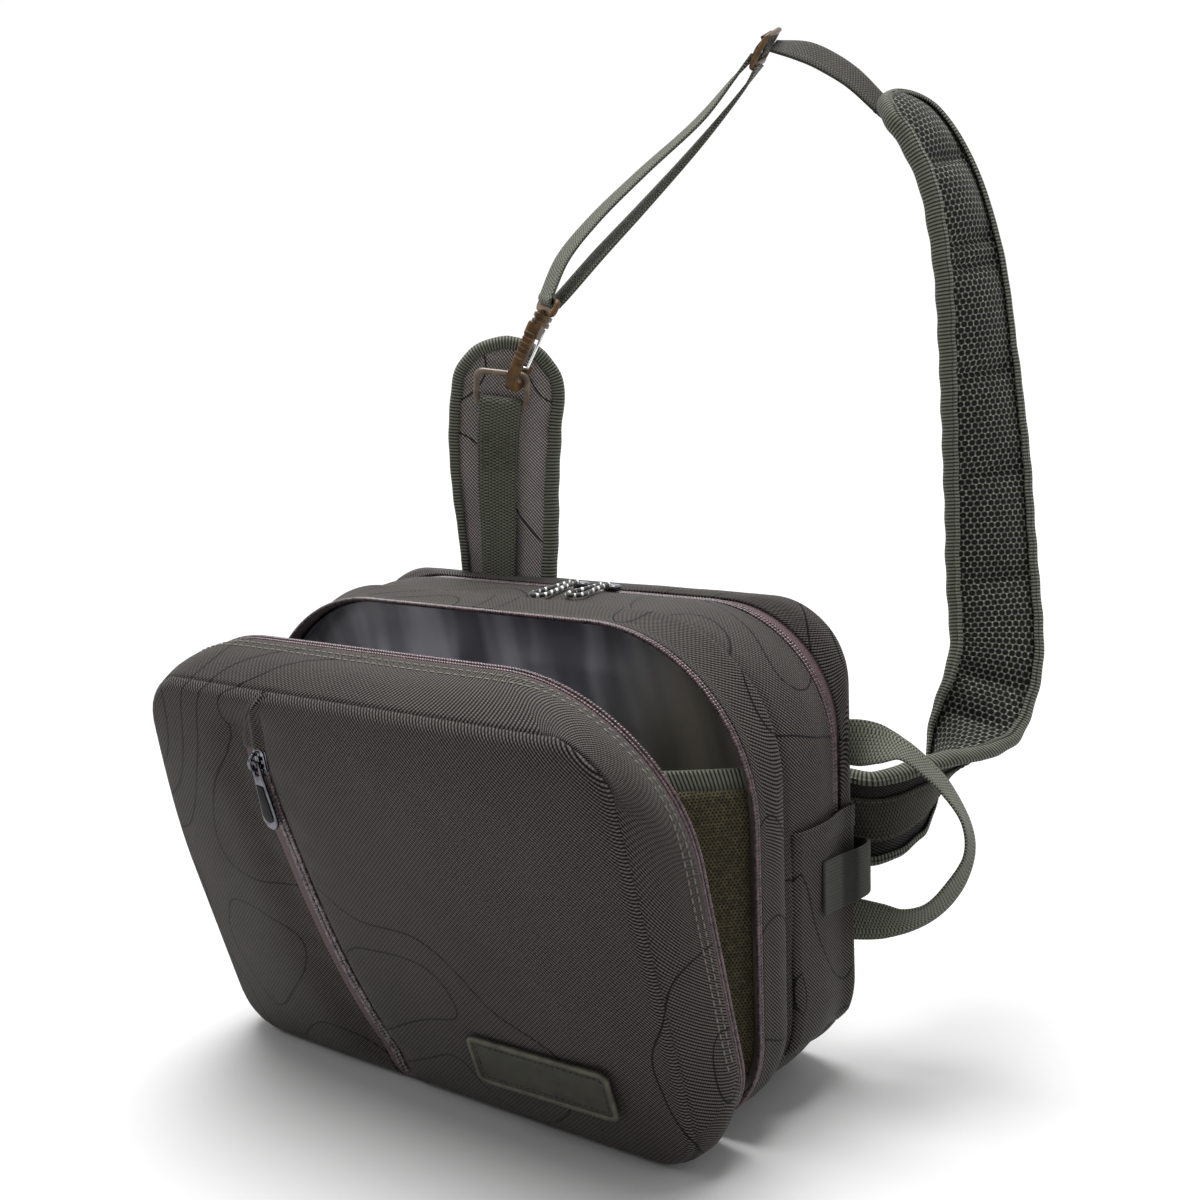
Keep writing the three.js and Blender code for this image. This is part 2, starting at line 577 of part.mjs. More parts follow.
// The pocket zip's slider, with an arch that the pull hangs on
function buildPocketSlider() {
  const up = SLIDER.up;
  const place = placeOnFace(zipLineX(up), up, -POCKET_ZIP.sink + GAP);
  const base = plate(roundedShape(2 * SLIDER.half, SLIDER.length, 2), SLIDER.height);
  const arc = Array.from({ length: 9 }, (_, i) => (Math.PI * i) / 8);
  const lowered = 0.2;
  const arch = sweep(
    rectangle(-SLIDER.wire, SLIDER.wire, -SLIDER.wire, SLIDER.wire),
    arc.map((angle) => {
      const out = new THREE.Vector3(0, Math.cos(angle), Math.sin(angle));
      const foot = new THREE.Vector3(0, 0, SLIDER.height - lowered);
      return { at: foot.addScaledVector(out, SLIDER.arch), u: new THREE.Vector3(1, 0, 0), v: out };
    }),
  );
  addPiece("pocket_slider", join(base, arch), "chrome", place);

  const hang = new THREE.Group();
  hang.position.z = SLIDER.height + 0.6 + PULL.thick / 2;
  place.add(hang);
  const tipRadius = PULL.half;
  const shape = new THREE.Shape();
  shape.moveTo(-3.6, 1);
  shape.lineTo(-3.9, -PULL.window - 2);
  shape.lineTo(-tipRadius, -(PULL.length - tipRadius));
  shape.absarc(0, -(PULL.length - tipRadius), tipRadius, Math.PI, 2 * Math.PI);
  shape.lineTo(3.9, -PULL.window - 2);
  shape.lineTo(3.6, 1);
  shape.closePath();
  const window = new THREE.Path();
  window.moveTo(-2.2, -1);
  window.lineTo(-2.2, -PULL.window);
  window.lineTo(2.2, -PULL.window);
  window.lineTo(2.2, -1);
  window.closePath();
  shape.holes.push(window);
  const pull = plate(shape, PULL.thick).translate(0, 0, -PULL.thick / 2);
  addPiece("pocket_pull", pull, "chrome", hang);
}

// Bellows: a sheet folded in between the body's edge and the lid's edge
function bellowsLine(hand, z) {
  const body = new THREE.Vector3(halfAt(FRONT_SECTIONS[0], z) - BELLOWS.inset, 6, z);
  const up = z / Math.cos(radians(LID_EDGE.tilt));
  const lid = lidPoint(LID_EDGE, halfAt(LID_EDGE, up) - BELLOWS.inset, up);
  lid.y -= 4;
  const fold = body.clone().lerp(lid, 0.4);
  fold.x -= BELLOWS.fold * (z / BELLOWS.top);
  const line = [body, body.clone().lerp(fold, 0.5), fold, fold.clone().lerp(lid, 0.5), lid];
  line.forEach((p) => (p.x *= hand));
  return hand > 0 ? line.reverse() : line;
}

function buildBellows(side, hand) {
  const bound = BELLOWS.top - BELLOWS.bound;
  const low = [0, 0.2, 0.4, 0.6, 0.8, 1].map((t) => bellowsLine(hand, lerp(BELLOWS.low, bound - GAP, t)));
  addPiece(`bellows_${side}`, wall(low, LINING), "mesh");
  const top = [bound, BELLOWS.top].map((z) => bellowsLine(hand, z));
  addPiece(`bellows_binding_${side}`, wall(top, BELLOWS.boundThick), "webbing");
}

// The slip pocket follows the rear compartment's right side
function buildSidePocket() {
  const depths = [SIDE_POCKET.front, 64, 88, 98, SIDE_POCKET.back];
  const heights = [0, 0.08, 0.18, 0.4, 0.7, 1].map((t) => lerp(SIDE_POCKET.low, SIDE_POCKET.top, t));
  const grid = depths.map((y) => {
    const row = sectionAt(REAR_SECTIONS, y);
    return heights.map((z) => {
      const x = halfAt(row, z - row.foot) + GAP + SIDE_POCKET.thick + 1;
      return new THREE.Vector3(x, y, z);
    });
  });
  addPiece("side_pocket", wall(grid, SIDE_POCKET.thick), "fabric");
}

// Frames along a table of points, either at given shares of the length or with steps between each two rows
function bandCurve(rows) {
  const places = rows.map(({ x, y, z }) => new THREE.Vector3(x, y, z));
  const leans = rows.map(({ ax, ay, az }) => new THREE.Vector3(ax, ay, az));
  const middle = new THREE.CatmullRomCurve3(places, false, "centripetal");
  const across = new THREE.CatmullRomCurve3(leans, false, "centripetal");
  middle.arcLengthDivisions = 400;
  const frameAt = (t) => {
    const tangent = middle.getTangent(t);
    const u = across.getPoint(t);
    u.addScaledVector(tangent, -u.dot(tangent)).normalize();
    return { at: middle.getPoint(t), u, v: tangent.cross(u).normalize() };
  };
  return { middle, frameAt };
}

function framesAtShares(rows, shares) {
  const { middle, frameAt } = bandCurve(rows);
  return { frames: shares.map((share) => frameAt(middle.getUtoTmapping(share))), length: middle.getLength() };
}

function framesByRow(rows, steps) {
  const { frameAt } = bandCurve(rows);
  const count = (rows.length - 1) * steps;
  return Array.from({ length: count + 1 }, (_, i) => frameAt(i / count));
}

const webbingProfile = (thick, lift = 0) =>
  rectangle(-WEBBING.width / 2, WEBBING.width / 2, lift - thick / 2, lift + thick / 2);

function buildSideLoop() {
  const middle = (SIDE_LOOP.low + SIDE_LOOP.high) / 2;
  const half = (SIDE_LOOP.high - SIDE_LOOP.low) / 2;
  const rows = SIDE_LOOP_PATH.map(({ x, y }) => ({ x, y, z: middle, ax: 0, ay: 0, az: 1 }));
  const profile = rectangle(-half, half, -SIDE_LOOP.thick / 2, SIDE_LOOP.thick / 2);
  addPiece("side_loop", sweep(profile, framesByRow(rows, 3)), "webbing");
}

function buildHandle() {
  const frames = framesByRow(HANDLE_PATH, 3);
  addPiece("carry_handle", sweep(webbingProfile(WEBBING.thick), frames), "webbing");
}

// A padded strip with a round tip: its core, and the edge tape that wraps its sides and tip
const TIP_ANGLES = [18, 36, 54, 70, 84].map(radians);

function paddedStrip(rows, size, steps) {
  const { length } = framesAtShares(rows, []);
  const straight = 1 - size.tip / length;
  const lay = (margin) => {
    const tip = (size.tip - margin) / length;
    const stations = [];
    for (let i = 0; i <= steps; i++) stations.push({ share: (straight * i) / steps, angle: 0 });
    TIP_ANGLES.forEach((angle) => stations.push({ share: straight + tip * Math.sin(angle), angle }));
    const { frames } = framesAtShares(rows, stations.map(({ share }) => share));
    return frames.map((frame, i) => {
      const { angle } = stations[i];
      return { ...frame, angle, half: (size.half - margin) * Math.cos(angle) };
    });
  };
  const core = size.thick / 2;
  const edge = core - 1;
  const section = [
    [-1, -edge],
    [-0.75, -core],
    [-0.3, -core],
    [0.3, -core],
    [0.75, -core],
    [1, -edge],
    [1, edge],
    [0.75, core],
    [0.3, core],
    [-0.3, core],
    [-0.75, core],
    [-1, edge],
  ];
  const inside = lay(size.bindingWall + size.clear);
  const coreFrames = inside.map((frame) => ({ ...frame, u: frame.u.clone().multiplyScalar(frame.half) }));
  const frames = lay(0);
  const side = (hand) =>
    frames.map(({ at, u, v, angle, half }) => {
      const along = u.clone().cross(v);
      const out = along.multiplyScalar(Math.sin(angle) / size.tip);
      out.addScaledVector(u, (hand * Math.cos(angle)) / size.half).normalize();
      return { at: at.clone().addScaledVector(u, hand * half), u: out, v };
    });
  const inner = core + size.clear;
  const outer = inner + size.bindingWall;
  const reach = -size.bindingReach;
  const tape = [
    [reach, -outer],
    [0, -outer],
    [0, outer],
    [reach, outer],
    [reach, inner],
    [-size.bindingWall, inner],
    [-size.bindingWall, -inner],
    [reach, -inner],
  ];
  const binding = sweep(tape, [...side(-1), ...side(1).reverse()]);
  return { core: sweep(section, coreFrames), binding, frames, outer };
}

// The shoulder pad, and the webbing that runs up its outer face and on to the adjuster
function buildPad() {
  const steps = 22;
  const { core, binding, frames, outer } = paddedStrip(PAD_PATH, PAD, steps);
  addPiece("strap_pad", core, "padMesh");
  addPiece("pad_binding", binding, "webbing");
  const low = PAD.thick / 2 + GAP + WEBBING.thick / 2;
  const high = outer + GAP + WEBBING.thick / 2;
  const onPad = frames.slice(1).map((frame, i) => {
    const lift = lerp(low, high, smooth(i, steps - 4, steps - 1));
    return { ...frame, at: frame.at.clone().addScaledVector(frame.v, lift) };
  });
  const beyond = framesByRow(STRAP_PATH, 3);
  addPiece("strap_webbing", sweep(webbingProfile(WEBBING.thick), [...onPad, ...beyond]), "webbing");
}

// The doubled webbing between the hook's eye and the adjuster
function buildStrapLoop(hook) {
  const axis = hook.eyeSide;
  const pull = new THREE.Vector3(0.54, 0.425, 0.725);
  pull.addScaledVector(axis, -pull.dot(axis)).normalize();
  const below = axis.clone().cross(pull);
  const radius = HOOK_EYE.wire * Math.SQRT1_2 + GAP + WEBBING.thick / 2;
  const wrap = [170, 220, 270, 320, 370].map(radians).map((angle) => {
    const point = hook.eyeBar.clone().addScaledVector(below, radius * Math.cos(angle));
    const { x, y, z } = point.addScaledVector(pull, radius * Math.sin(angle));
    return { x, y, z, ax: axis.x, ay: axis.y, az: axis.z };
  });
  const frames = framesByRow([...UPPER_STRAND, ...wrap, ...LOWER_STRAND], 3);
  addPiece("strap_loop", sweep(webbingProfile(WEBBING.thick), frames), "webbing");
}

function buildAdjuster() {
  const frame = roundedShape(ADJUSTER.width, ADJUSTER.length, 3);
  const slot = (ADJUSTER.length - 3 * ADJUSTER.bar) / 2;
  for (const side of [-1, 1]) {
    const hole = new THREE.Path();
    const middle = (side * (slot + ADJUSTER.bar)) / 2;
    const reach = ADJUSTER.width / 2 - ADJUSTER.bar + 0.5;
    hole.moveTo(-reach, middle - slot / 2);
    hole.lineTo(-reach, middle + slot / 2);
    hole.lineTo(reach, middle + slot / 2);
    hole.lineTo(reach, middle - slot / 2);
    hole.closePath();
    frame.holes.push(hole);
  }
  const place = new THREE.Group();
  const across = ADJUSTER_POSE.across.clone().normalize();
  const rise = ADJUSTER_POSE.rise.clone();
  rise.addScaledVector(across, -rise.dot(across)).normalize();
  place.position.set(ADJUSTER.x, ADJUSTER.y, ADJUSTER.z);
  turnTo(place, across, rise);
  bag.add(place);
  addPiece("adjuster", plate(frame, ADJUSTER.thick).translate(0, 0, -ADJUSTER.thick / 2), "plastic", place);
}

// The tab: its sections turn towards the strap as they rise
const tabRows = TAB_PATH.map(({ turn, ...row }) => ({
  ...row,
  ax: Math.cos(radians(turn)),
  ay: Math.sin(radians(turn)),
  az: 0,
}));

function buildTab() {
  const { core, binding } = paddedStrip(tabRows, TAB, 9);
  addPiece("tab", core, "fabric");
  addPiece("tab_binding", binding, "webbing");

  // Webbing up the tab's face, round the ring's foot and back down under itself
  const layer = WEBBING.thick + GAP;
  const inner = TAB.thick / 2 + GAP + WEBBING.thick / 2;
  const outer = inner + layer;
  const turnRadius = RING.wire / 2 + 1.2 + WEBBING.thick / 2;
  const bar = inner + turnRadius;
  const frames = framesByRow(tabRows, 6);
  const top = framesAtShares(tabRows, [TAB_WEBBING.ringShare]).frames[0];
  const lift = (frame, out) => ({
    ...frame,
    at: frame.at.clone().addScaledVector(frame.v, -out).addScaledVector(frame.u, TAB_WEBBING.shift),
  });
  const along = top.u.clone().cross(top.v);
  const barHeight = top.at.z;
  const rise = frames.filter((frame) => frame.at.z < barHeight - 1);
  const front = rise.map((frame) => {
    const share = smooth(frame.at.z, 330, barHeight);
    return lift(frame, lerp(outer, bar + turnRadius, share));
  });
  const turn = [0.1, 0.3, 0.5, 0.7, 0.9].map((share) => {
    const angle = Math.PI * share;
    const placed = lift(top, bar + turnRadius * Math.cos(angle));
    placed.at.addScaledVector(along, turnRadius * Math.sin(angle));
    placed.v = top.v.clone().multiplyScalar(Math.cos(angle)).addScaledVector(along, -Math.sin(angle));
    return placed;
  });
  const under = rise.filter((frame) => frame.at.z > TAB_WEBBING.patchFoot).reverse();
  const back = under.map((frame) => ({ ...lift(frame, inner), v: frame.v.clone().negate() }));
  addPiece("tab_webbing", sweep(webbingProfile(WEBBING.thick), [...front, ...turn, ...back]), "webbing");
  return { foot: lift(top, bar).at, across: top.u, along, front: top.v.clone().negate() };
}

// The ring leans off the tab, so that the hook can turn in it
function buildRing({ foot, across, along, front }) {
  const outer = roundedShape(RING.width, RING.height, 6);
  outer.holes.push(roundedShape(RING.width - 2 * RING.wire, RING.height - 2 * RING.wire, 2.4));
  const lean = radians(RING.lean);
  const rise = along.clone().multiplyScalar(Math.cos(lean)).addScaledVector(front, Math.sin(lean));
  const place = new THREE.Group();
  place.position.copy(foot);
  turnTo(place, across, rise);
  bag.add(place);
  const reach = RING.height - RING.wire;
  const ring = plate(outer, RING.thick, 4).translate(0, reach / 2, -RING.thick / 2);
  addPiece("d_ring", ring, "plastic", place);
  return foot.clone().addScaledVector(rise, reach).addScaledVector(across, HOOK_POSE.alongRing);
}

// Snap hook: from the middle of its bend, x runs from the spine to the gate and z up to the eye
function buildHook(origin) {
  const place = new THREE.Group();
  const axis = HOOK_POSE.axis.clone().normalize();
  const side = HOOK_POSE.side.clone().addScaledVector(axis, -HOOK_POSE.side.dot(axis)).normalize();
  place.position.copy(origin);
  turnTo(place, side, axis.clone().cross(side));
  bag.add(place);

  const inside = HOOK.gape;
  const outside = HOOK.gape + HOOK.spine;
  const nose = 6;
  const shape = new THREE.Shape();
  shape.moveTo(-outside, HOOK.length - outside);
  shape.lineTo(-outside, 0);
  shape.absarc(0, 0, outside, Math.PI, 2 * Math.PI);
  shape.lineTo(outside, nose);
  shape.lineTo(inside, nose + 1.5);
  shape.lineTo(inside, 0);
  shape.absarc(0, 0, inside, 2 * Math.PI, Math.PI, true);
  shape.lineTo(-inside, HOOK.length - outside);
  shape.closePath();
  const upright = (geometry, thick) => geometry.translate(0, 0, -thick / 2).rotateX(Math.PI / 2);
  const hook = upright(plate(shape, HOOK.thick), HOOK.thick);
  const collarFoot = HOOK.length - outside - 0.5;
  const collar = new THREE.CylinderGeometry(8, 8, HOOK.collar, 16).rotateX(Math.PI / 2);
  collar.scale(1.15, 0.62, 1).translate(-0.5, 0, collarFoot + HOOK.collar / 2);
  addPiece("hook_body", join(hook, collar), "plastic", place);

  const { width, height, wire } = HOOK_EYE;
  const eyeOuter = roundedShape(width, height, 4.5);
  eyeOuter.holes.push(roundedShape(width - 2 * wire, height - 2 * wire, 2));
  const eye = upright(plate(eyeOuter, wire, 4), wire);
  const turn = radians(HOOK_EYE.turn);
  eye.rotateZ(turn).translate(-0.5, 0, collarFoot + HOOK.collar + GAP + height / 2);
  addPiece("hook_eye", eye, "plastic", place);

  const gateTop = collarFoot - 0.8;
  const gateFoot = nose - 1;
  const gateX = inside - 1.4;
  const half = GATE.width / 2;
  const u = new THREE.Vector3(1, 0, 0);
  const staple = [
    { at: new THREE.Vector3(gateX, -half, gateTop), u, v: new THREE.Vector3(0, -1, 0) },
    { at: new THREE.Vector3(gateX, -half, gateFoot), u, v: new THREE.Vector3(0, -1, -1) },
    { at: new THREE.Vector3(gateX, half, gateFoot), u, v: new THREE.Vector3(0, 1, -1) },
    { at: new THREE.Vector3(gateX, half, gateTop), u, v: new THREE.Vector3(0, 1, 0) },
  ];
  const wireSection = Array.from({ length: 8 }, (_, k) => {
    const angle = (2 * Math.PI * k) / 8;
    return [(GATE.wire / 2) * Math.cos(angle), (GATE.wire / 2) * Math.sin(angle)];
  });
  addPiece("hook_gate", sweep(wireSection, staple), "steel", place);
  const eyeTop = collarFoot + HOOK.collar + GAP + height - wire / 2;
  const eyeSide = side.clone().applyAxisAngle(axis, turn);
  return { eyeSide, eyeBar: origin.clone().addScaledVector(axis, eyeTop).addScaledVector(side, -0.5) };
}

// Rear zip sliders, with cord loops that lie forwards over the top
function buildRearPulls() {
  const row = sectionAt(REAR_SECTIONS, REAR_ZIP.y);
  const top = row.foot + row.height;
  for (const { side, x, length, lean } of REAR_PULLS) {
    const body = plate(roundedShape(REAR_SLIDER.length, REAR_SLIDER.width, 2.5), REAR_SLIDER.height);
    addPiece(`rear_slider_${side}`, body.translate(x, REAR_ZIP.y, top + 1.3), "chrome");
    const start = REAR_ZIP.y - REAR_SLIDER.width / 2 - CORD.diameter / 2 - GAP;
    const route = [
      { along: 0, aside: 1.9 },
      { along: 8, aside: 2.4 },
      { along: length - 12, aside: 4.4 },
      { along: length - 5, aside: CORD.bend },
      { along: length - 1.4, aside: 3.6 },
      { along: length, aside: 0 },
    ];
    const back = route.slice(0, -1).map(({ along, aside }) => ({ along, aside: -aside })).reverse();
    const points = [...route, ...back].map(({ along, aside }) => {
      const drift = (lean * along) / length;
      return new THREE.Vector3(x + aside + drift, start - along, CORD.height);
    });
    const section = new THREE.Shape();
    section.absarc(0, 0, CORD.diameter / 2, 0, 2 * Math.PI);
    const extrudePath = new THREE.CatmullRomCurve3(points);
    const cord = new THREE.ExtrudeGeometry(section, { steps: 20, curveSegments: 4, extrudePath });
    addPiece(`cord_pull_${side}`, cord, "cord");
  }
}

buildFrontCompartment();
buildLining();
buildRearCompartment();
buildLid();
buildBadge();
buildPocketSlider();
buildBellows("right", 1);
buildBellows("left", -1);
buildSidePocket();
buildSideLoop();
buildHandle();
buildPad();
buildAdjuster();
const ringSeat = buildTab();
const hookSeat = buildRing(ringSeat);
const hook = buildHook(hookSeat);
buildStrapLoop(hook);
buildRearPulls();

export default root;
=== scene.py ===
"""Looks of a sling bag: printed cloth, zips, webbing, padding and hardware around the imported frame.

The tables are in millimetres in the bag's own frame (x right, y back, z up from the base). place() moves
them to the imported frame, whose origin is where the strap hangs, and turns them into metres.
"""
import math

import bmesh
import bpy
import numpy as np
from mathutils import Matrix, Vector


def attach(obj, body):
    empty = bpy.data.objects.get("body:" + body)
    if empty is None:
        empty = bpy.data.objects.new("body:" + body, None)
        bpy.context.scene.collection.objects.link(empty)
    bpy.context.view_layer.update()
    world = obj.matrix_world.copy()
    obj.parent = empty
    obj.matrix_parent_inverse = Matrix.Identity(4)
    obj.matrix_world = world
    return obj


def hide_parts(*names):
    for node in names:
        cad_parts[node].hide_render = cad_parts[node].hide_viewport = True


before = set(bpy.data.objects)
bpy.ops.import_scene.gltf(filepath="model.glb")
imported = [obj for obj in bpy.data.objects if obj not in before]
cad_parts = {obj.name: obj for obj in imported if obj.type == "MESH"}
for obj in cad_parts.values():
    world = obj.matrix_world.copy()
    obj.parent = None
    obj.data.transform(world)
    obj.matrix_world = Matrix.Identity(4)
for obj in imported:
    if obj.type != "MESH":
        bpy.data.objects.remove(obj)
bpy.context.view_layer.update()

# Driving dimensions, in millimetres
HANG = np.array([84.0, 191.0, 560.0])
FLOOR_Z = -2.4
CLOTH = 2.0
GAP = 0.4
WEBBING = {"width": 25.0, "thick": 1.8}
BOTTOM_RADIUS = 55.0
ZIP_END_HEIGHT = 16.0
ZIP_DEPTH = 8.6

# Cross sections of the body, front to back
SECTION_KEYS = ("half", "height", "top", "foot")
BODY_SECTIONS = [
    {"y": 9.0, "half": 175, "height": 262, "top": 96, "foot": 0},
    {"y": 19.0, "half": 176, "height": 264, "top": 92, "foot": 0},
    {"y": 27.0, "half": 175, "height": 265, "top": 84, "foot": 0},
    {"y": 32.0, "half": 168.5, "height": 256.5, "top": 79, "foot": 4.6},
    {"y": 40.0, "half": 172, "height": 262, "top": 80, "foot": 0},
    {"y": 64.0, "half": 174, "height": 263, "top": 80, "foot": 0},
    {"y": 88.0, "half": 172, "height": 260, "top": 76, "foot": 0},
    {"y": 98.0, "half": 174, "height": 262, "top": 54, "foot": 0},
    {"y": 105.2, "half": 171.6, "height": 259.6, "top": 44, "foot": 2},
]
SEAM_Y = 32.0
BACK_PANEL = {"y": 108.6, "half": 170.5, "height": 257, "top": 43, "foot": 3}
LINING_BACK_Y = 30.3
LINING_FOLDS = [
    {"x": -96, "wide": 13, "deep": 3.5, "lean": 0.2},
    {"x": -34, "wide": 11, "deep": 5, "lean": -0.12},
    {"x": 24, "wide": 10, "deep": 6, "lean": 0.1},
    {"x": 62, "wide": 14, "deep": 5, "lean": 0.4},
]
REAR_ZIP = {"y": 88.0, "mouth": 3.8, "end": 147.0}

# The lid's zipped edge and front seam, each an outline on a plane that leans forward
LID_EDGE = {"y": -1.5, "z": 1.5, "tilt": 15.3, "half": 175, "height": 261, "top": 92, "bottom": 55}
LID_SEAM = {"y": -36.0, "z": -2.0, "tilt": 16.9, "half": 164, "height": 247, "top": 30, "bottom": 26}
LID_DRAW_IN = 0.13
LID_BULGE = {"gusset": 4.0, "front": 9.0}
POCKET_ZIP = {"half": 7.5, "top": 218.0, "valley": 8.0, "sink": 3.2, "shallow": 6.2}
POCKET_ZIP_LINE = [
    {"up": 247, "x": -48},
    {"up": 218, "x": -63},
    {"up": 150, "x": -61},
    {"up": 85, "x": -53},
    {"up": 25, "x": -37},
    {"up": 0, "x": -27},
]
SLIDER = {"half": 4.5, "height": 5.5, "up": 207.0, "arch": 4.4}
PULL = {"length": 40.0, "half": 6.3, "thick": 1.8, "window": 7.5}
BADGE = {"x": 85.0, "up": 49.0, "width": 88.0, "height": 31.0, "radius": 5.0, "thick": 2.4}
BELLOWS = {"top": 195.0, "low": 34.0, "fold": 30.0, "ridge": 0.4, "inset": 7.0, "bound": 14.0}
SIDE_POCKET = {"top": 153.0, "low": 30.0, "front": 41.0, "back": 102.5, "stand": 2.8}

# Bands: each row is the middle of the band (x, y, z) and the direction across it; the side loop's is x, y
SIDE_LOOP = {"low": 103.0, "high": 132.0, "thick": 1.6}
SIDE_LOOP_PATH = [(178.8, 61), (179.4, 68), (182, 82), (184.5, 95), (183.5, 104), (179, 108), (172.5, 107.5)]
HANDLE_PATH = [
    (172.4, 101, 186, 0, 0, -1),
    (190, 104, 186, 0.33, -0.69, -0.64),
    (201, 108, 184, 0.32, -0.93, -0.16),
    (211, 112, 176, 0.22, -0.98, 0.02),
    (222, 116, 164, 0.24, -0.97, 0.08),
    (232, 119, 146, 0.24, -0.93, 0.27),
    (234, 119, 129, 0.19, -0.93, 0.32),
    (227, 115, 110, 0.1, -0.85, 0.52),
    (217, 111, 97, 0.14, -0.8, 0.58),
    (204, 107, 90, 0.22, -0.62, 0.75),
    (190, 103, 88, 0.16, -0.3, 0.94),
    (172.4, 100, 87, 0, 0, 1),
]
PAD = {"half": 27.0, "thick": 6.0, "tip": 24.0, "reach": 6.5, "wall": 1.0, "clear": 1.3}
PAD_PATH = [
    (132, 115.4, 140, 0, 0, 1),
    (158, 116.2, 139, 0, 0.02, 1),
    (178, 124, 138, 0.1, 0.05, 0.99),
    (191, 144, 145, 0.35, 0.2, 0.91),
    (202, 172, 162, 0.58, 0.42, 0.7),
    (209, 198, 188, 0.71, 0.57, 0.41),
    (211, 212, 218, 0.77, 0.61, 0.19),
    (205, 220, 262, 0.74, 0.67, 0.07),
    (200, 225, 317, 0.65, 0.76, -0.02),
    (194, 226, 384, 0.45, 0.89, -0.02),
    (188, 224, 442, 0.3, 0.95, 0.05),
    (176, 222, 488, 0.12, 0.98, 0.16),
    (160, 219, 516, 0.02, 0.97, 0.25),
    (142, 214, 533, -0.08, 0.95, 0.28),
]
PAD_CHANNELS = (0.265, 0.316, 0.433, 0.553, 0.665, 0.782, 0.807, 0.9)
STRAP_PATH = [
    (131, 210, 539, -0.1, 0.91, 0.4),
    (117, 204, 550, -0.1, 0.87, 0.48),
    (102, 198, 559, -0.12, 0.86, 0.5),
    (84.5, 189.8, 564, -0.23, 0.9, 0.33),
]
UPPER_STRAND = [
    (73.7, 184.9, 559.3, -0.26, 0.91, 0.28),
    (64, 180, 548, -0.58, 0.8, 0.1),
    (47, 169, 526, -0.7, 0.7, 0.1),
    (18, 149, 497, -0.74, 0.66, 0.12),
    (-6, 132, 471, -0.77, 0.62, 0.13),
    (-19, 118.5, 450, -0.79, 0.6, 0.14),
]
LOWER_STRAND = [
    (-2, 132, 452, -0.78, 0.61, 0.13),
    (19, 150, 479, -0.74, 0.66, 0.12),
    (46, 170, 513, -0.68, 0.73, 0.1),
    (69, 184, 543, -0.55, 0.82, 0.1),
    (77.9, 186, 554.2, -0.26, 0.91, 0.28),
]
ADJUSTER = {
    "at": (79.5, 187.6, 563.5),
    "across": (-0.27, 0.91, 0.28),
    "rise": (0.45, 0.3, 0.84),
    "length": 22.0,
    "width": 34.0,
    "bar": 3.6,
    "thick": 3.0,
}

# The tab: middle of each section, and how far it turns to the right
TAB = {"half": 35.0, "thick": 7.0, "tip": 35.0, "reach": 7.5, "wall": 1.0, "clear": GAP}
TAB_PATH = [
    (-60, 104, 259.8, 2),
    (-60, 105, 290, 10),
    (-61, 106, 320, 20),
    (-60, 107, 350, 29),
    (-55.5, 108, 380, 34),
    (-50, 108.5, 406, 36),
]
TAB_WEBBING = {"shift": -2.5, "patch_foot": 326.0, "patch_top": 348.0, "ring_share": 0.725}
RING = {"width": 34.0, "height": 24.5, "wire": 3.6, "thick": 3.4, "lean": 20.0}
HOOK = {"gape": 5.2, "spine": 5.0, "thick": 7.0, "length": 42.0, "collar": 7.0, "nose": 6.0}
HOOK_EYE = {"width": 37.0, "height": 11.0, "wire": 3.4, "turn": 36.0}
HOOK_SIDE = (-0.348, 0.928, -0.136)
HOOK_AXIS = (0.358, 0.268, 0.894)
HOOK_ALONG_RING = 9.5
GATE = {"wire": 1.8, "width": 5.0}
CORD = {"diameter": 2.6, "bend": 5.2, "height": 264.9}
REAR_PULLS = [
    {"side": "left", "x": 8.0, "length": 46.0, "lean": 7.0},
    {"side": "right", "x": 30.0, "length": 38.0, "lean": 4.0},
]
REAR_SLIDER = {"length": 10.0, "width": 7.5, "height": 3.2}

# The photograph's camera, in the bag's frame; its image is taken to be square
CAMERA = {
    "azimuth": 36.66,
    "elevation": 10.06,
    "roll": -2.25,
    "distance": 762.2,
    "target": (86.83, 0.0, 273.57),
    "lens": 45.255,
    "sensor": 36.0,
}

# Studio light: the surrounding glow in front of and behind the bag, two soft lamps and a wide overhead sun
GLOW = {"from": -0.1, "to": 0.6, "front": 0.36, "behind": 1.03, "rise": 0.25}
LAMPS = [
    {"name": "key_light", "at": (-900, -1100, 1500), "size": 1000, "power": 5.0},
    {"name": "side_light", "at": (1700, 300, 1000), "size": 1200, "power": 5.0},
]
LAMP_AIM = (40, 40, 240)
SUN = {"toward": (0.14, -0.1, -1.0), "power": 5.2, "spread": 40.0}
FLOOR_REACH_M = 40.0


# Small maths

def place(points):
    """Points of the bag's own frame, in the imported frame."""
    return (np.asarray(points, float) - HANG) / 1000.0


def unit(vectors):
    """Vectors scaled to a length of 1."""
    vectors = np.asarray(vectors, float)
    return vectors / np.maximum(np.linalg.norm(vectors, axis=-1, keepdims=True), 1e-9)


def smoothstep(value, low, high):
    """0 below low, 1 above high, and an even rise between."""
    t = np.clip((np.asarray(value, float) - low) / (high - low), 0.0, 1.0)
    return t * t * (3 - 2 * t)


def mix(a, b, t):
    """From a to b, by the share t."""
    return a + (b - a) * t


def lengths(points):
    """Running length along a row of points."""
    return np.concatenate([[0.0], np.cumsum(np.linalg.norm(np.diff(points, axis=0), axis=1))])


def read_off(stations, run, rows):
    """Rows of x, y and z given at the running lengths run, read off at stations."""
    return np.stack([np.interp(stations, run, rows[:, axis]) for axis in range(3)], axis=1)


def rolled(edge):
    """A rounded shoulder: 0 at an edge, and 1 from 5 mm inside it."""
    reach = 5.0
    return np.sqrt(np.clip(1 - (1 - np.clip(edge / reach, 0, 1)) ** 2, 0, 1))


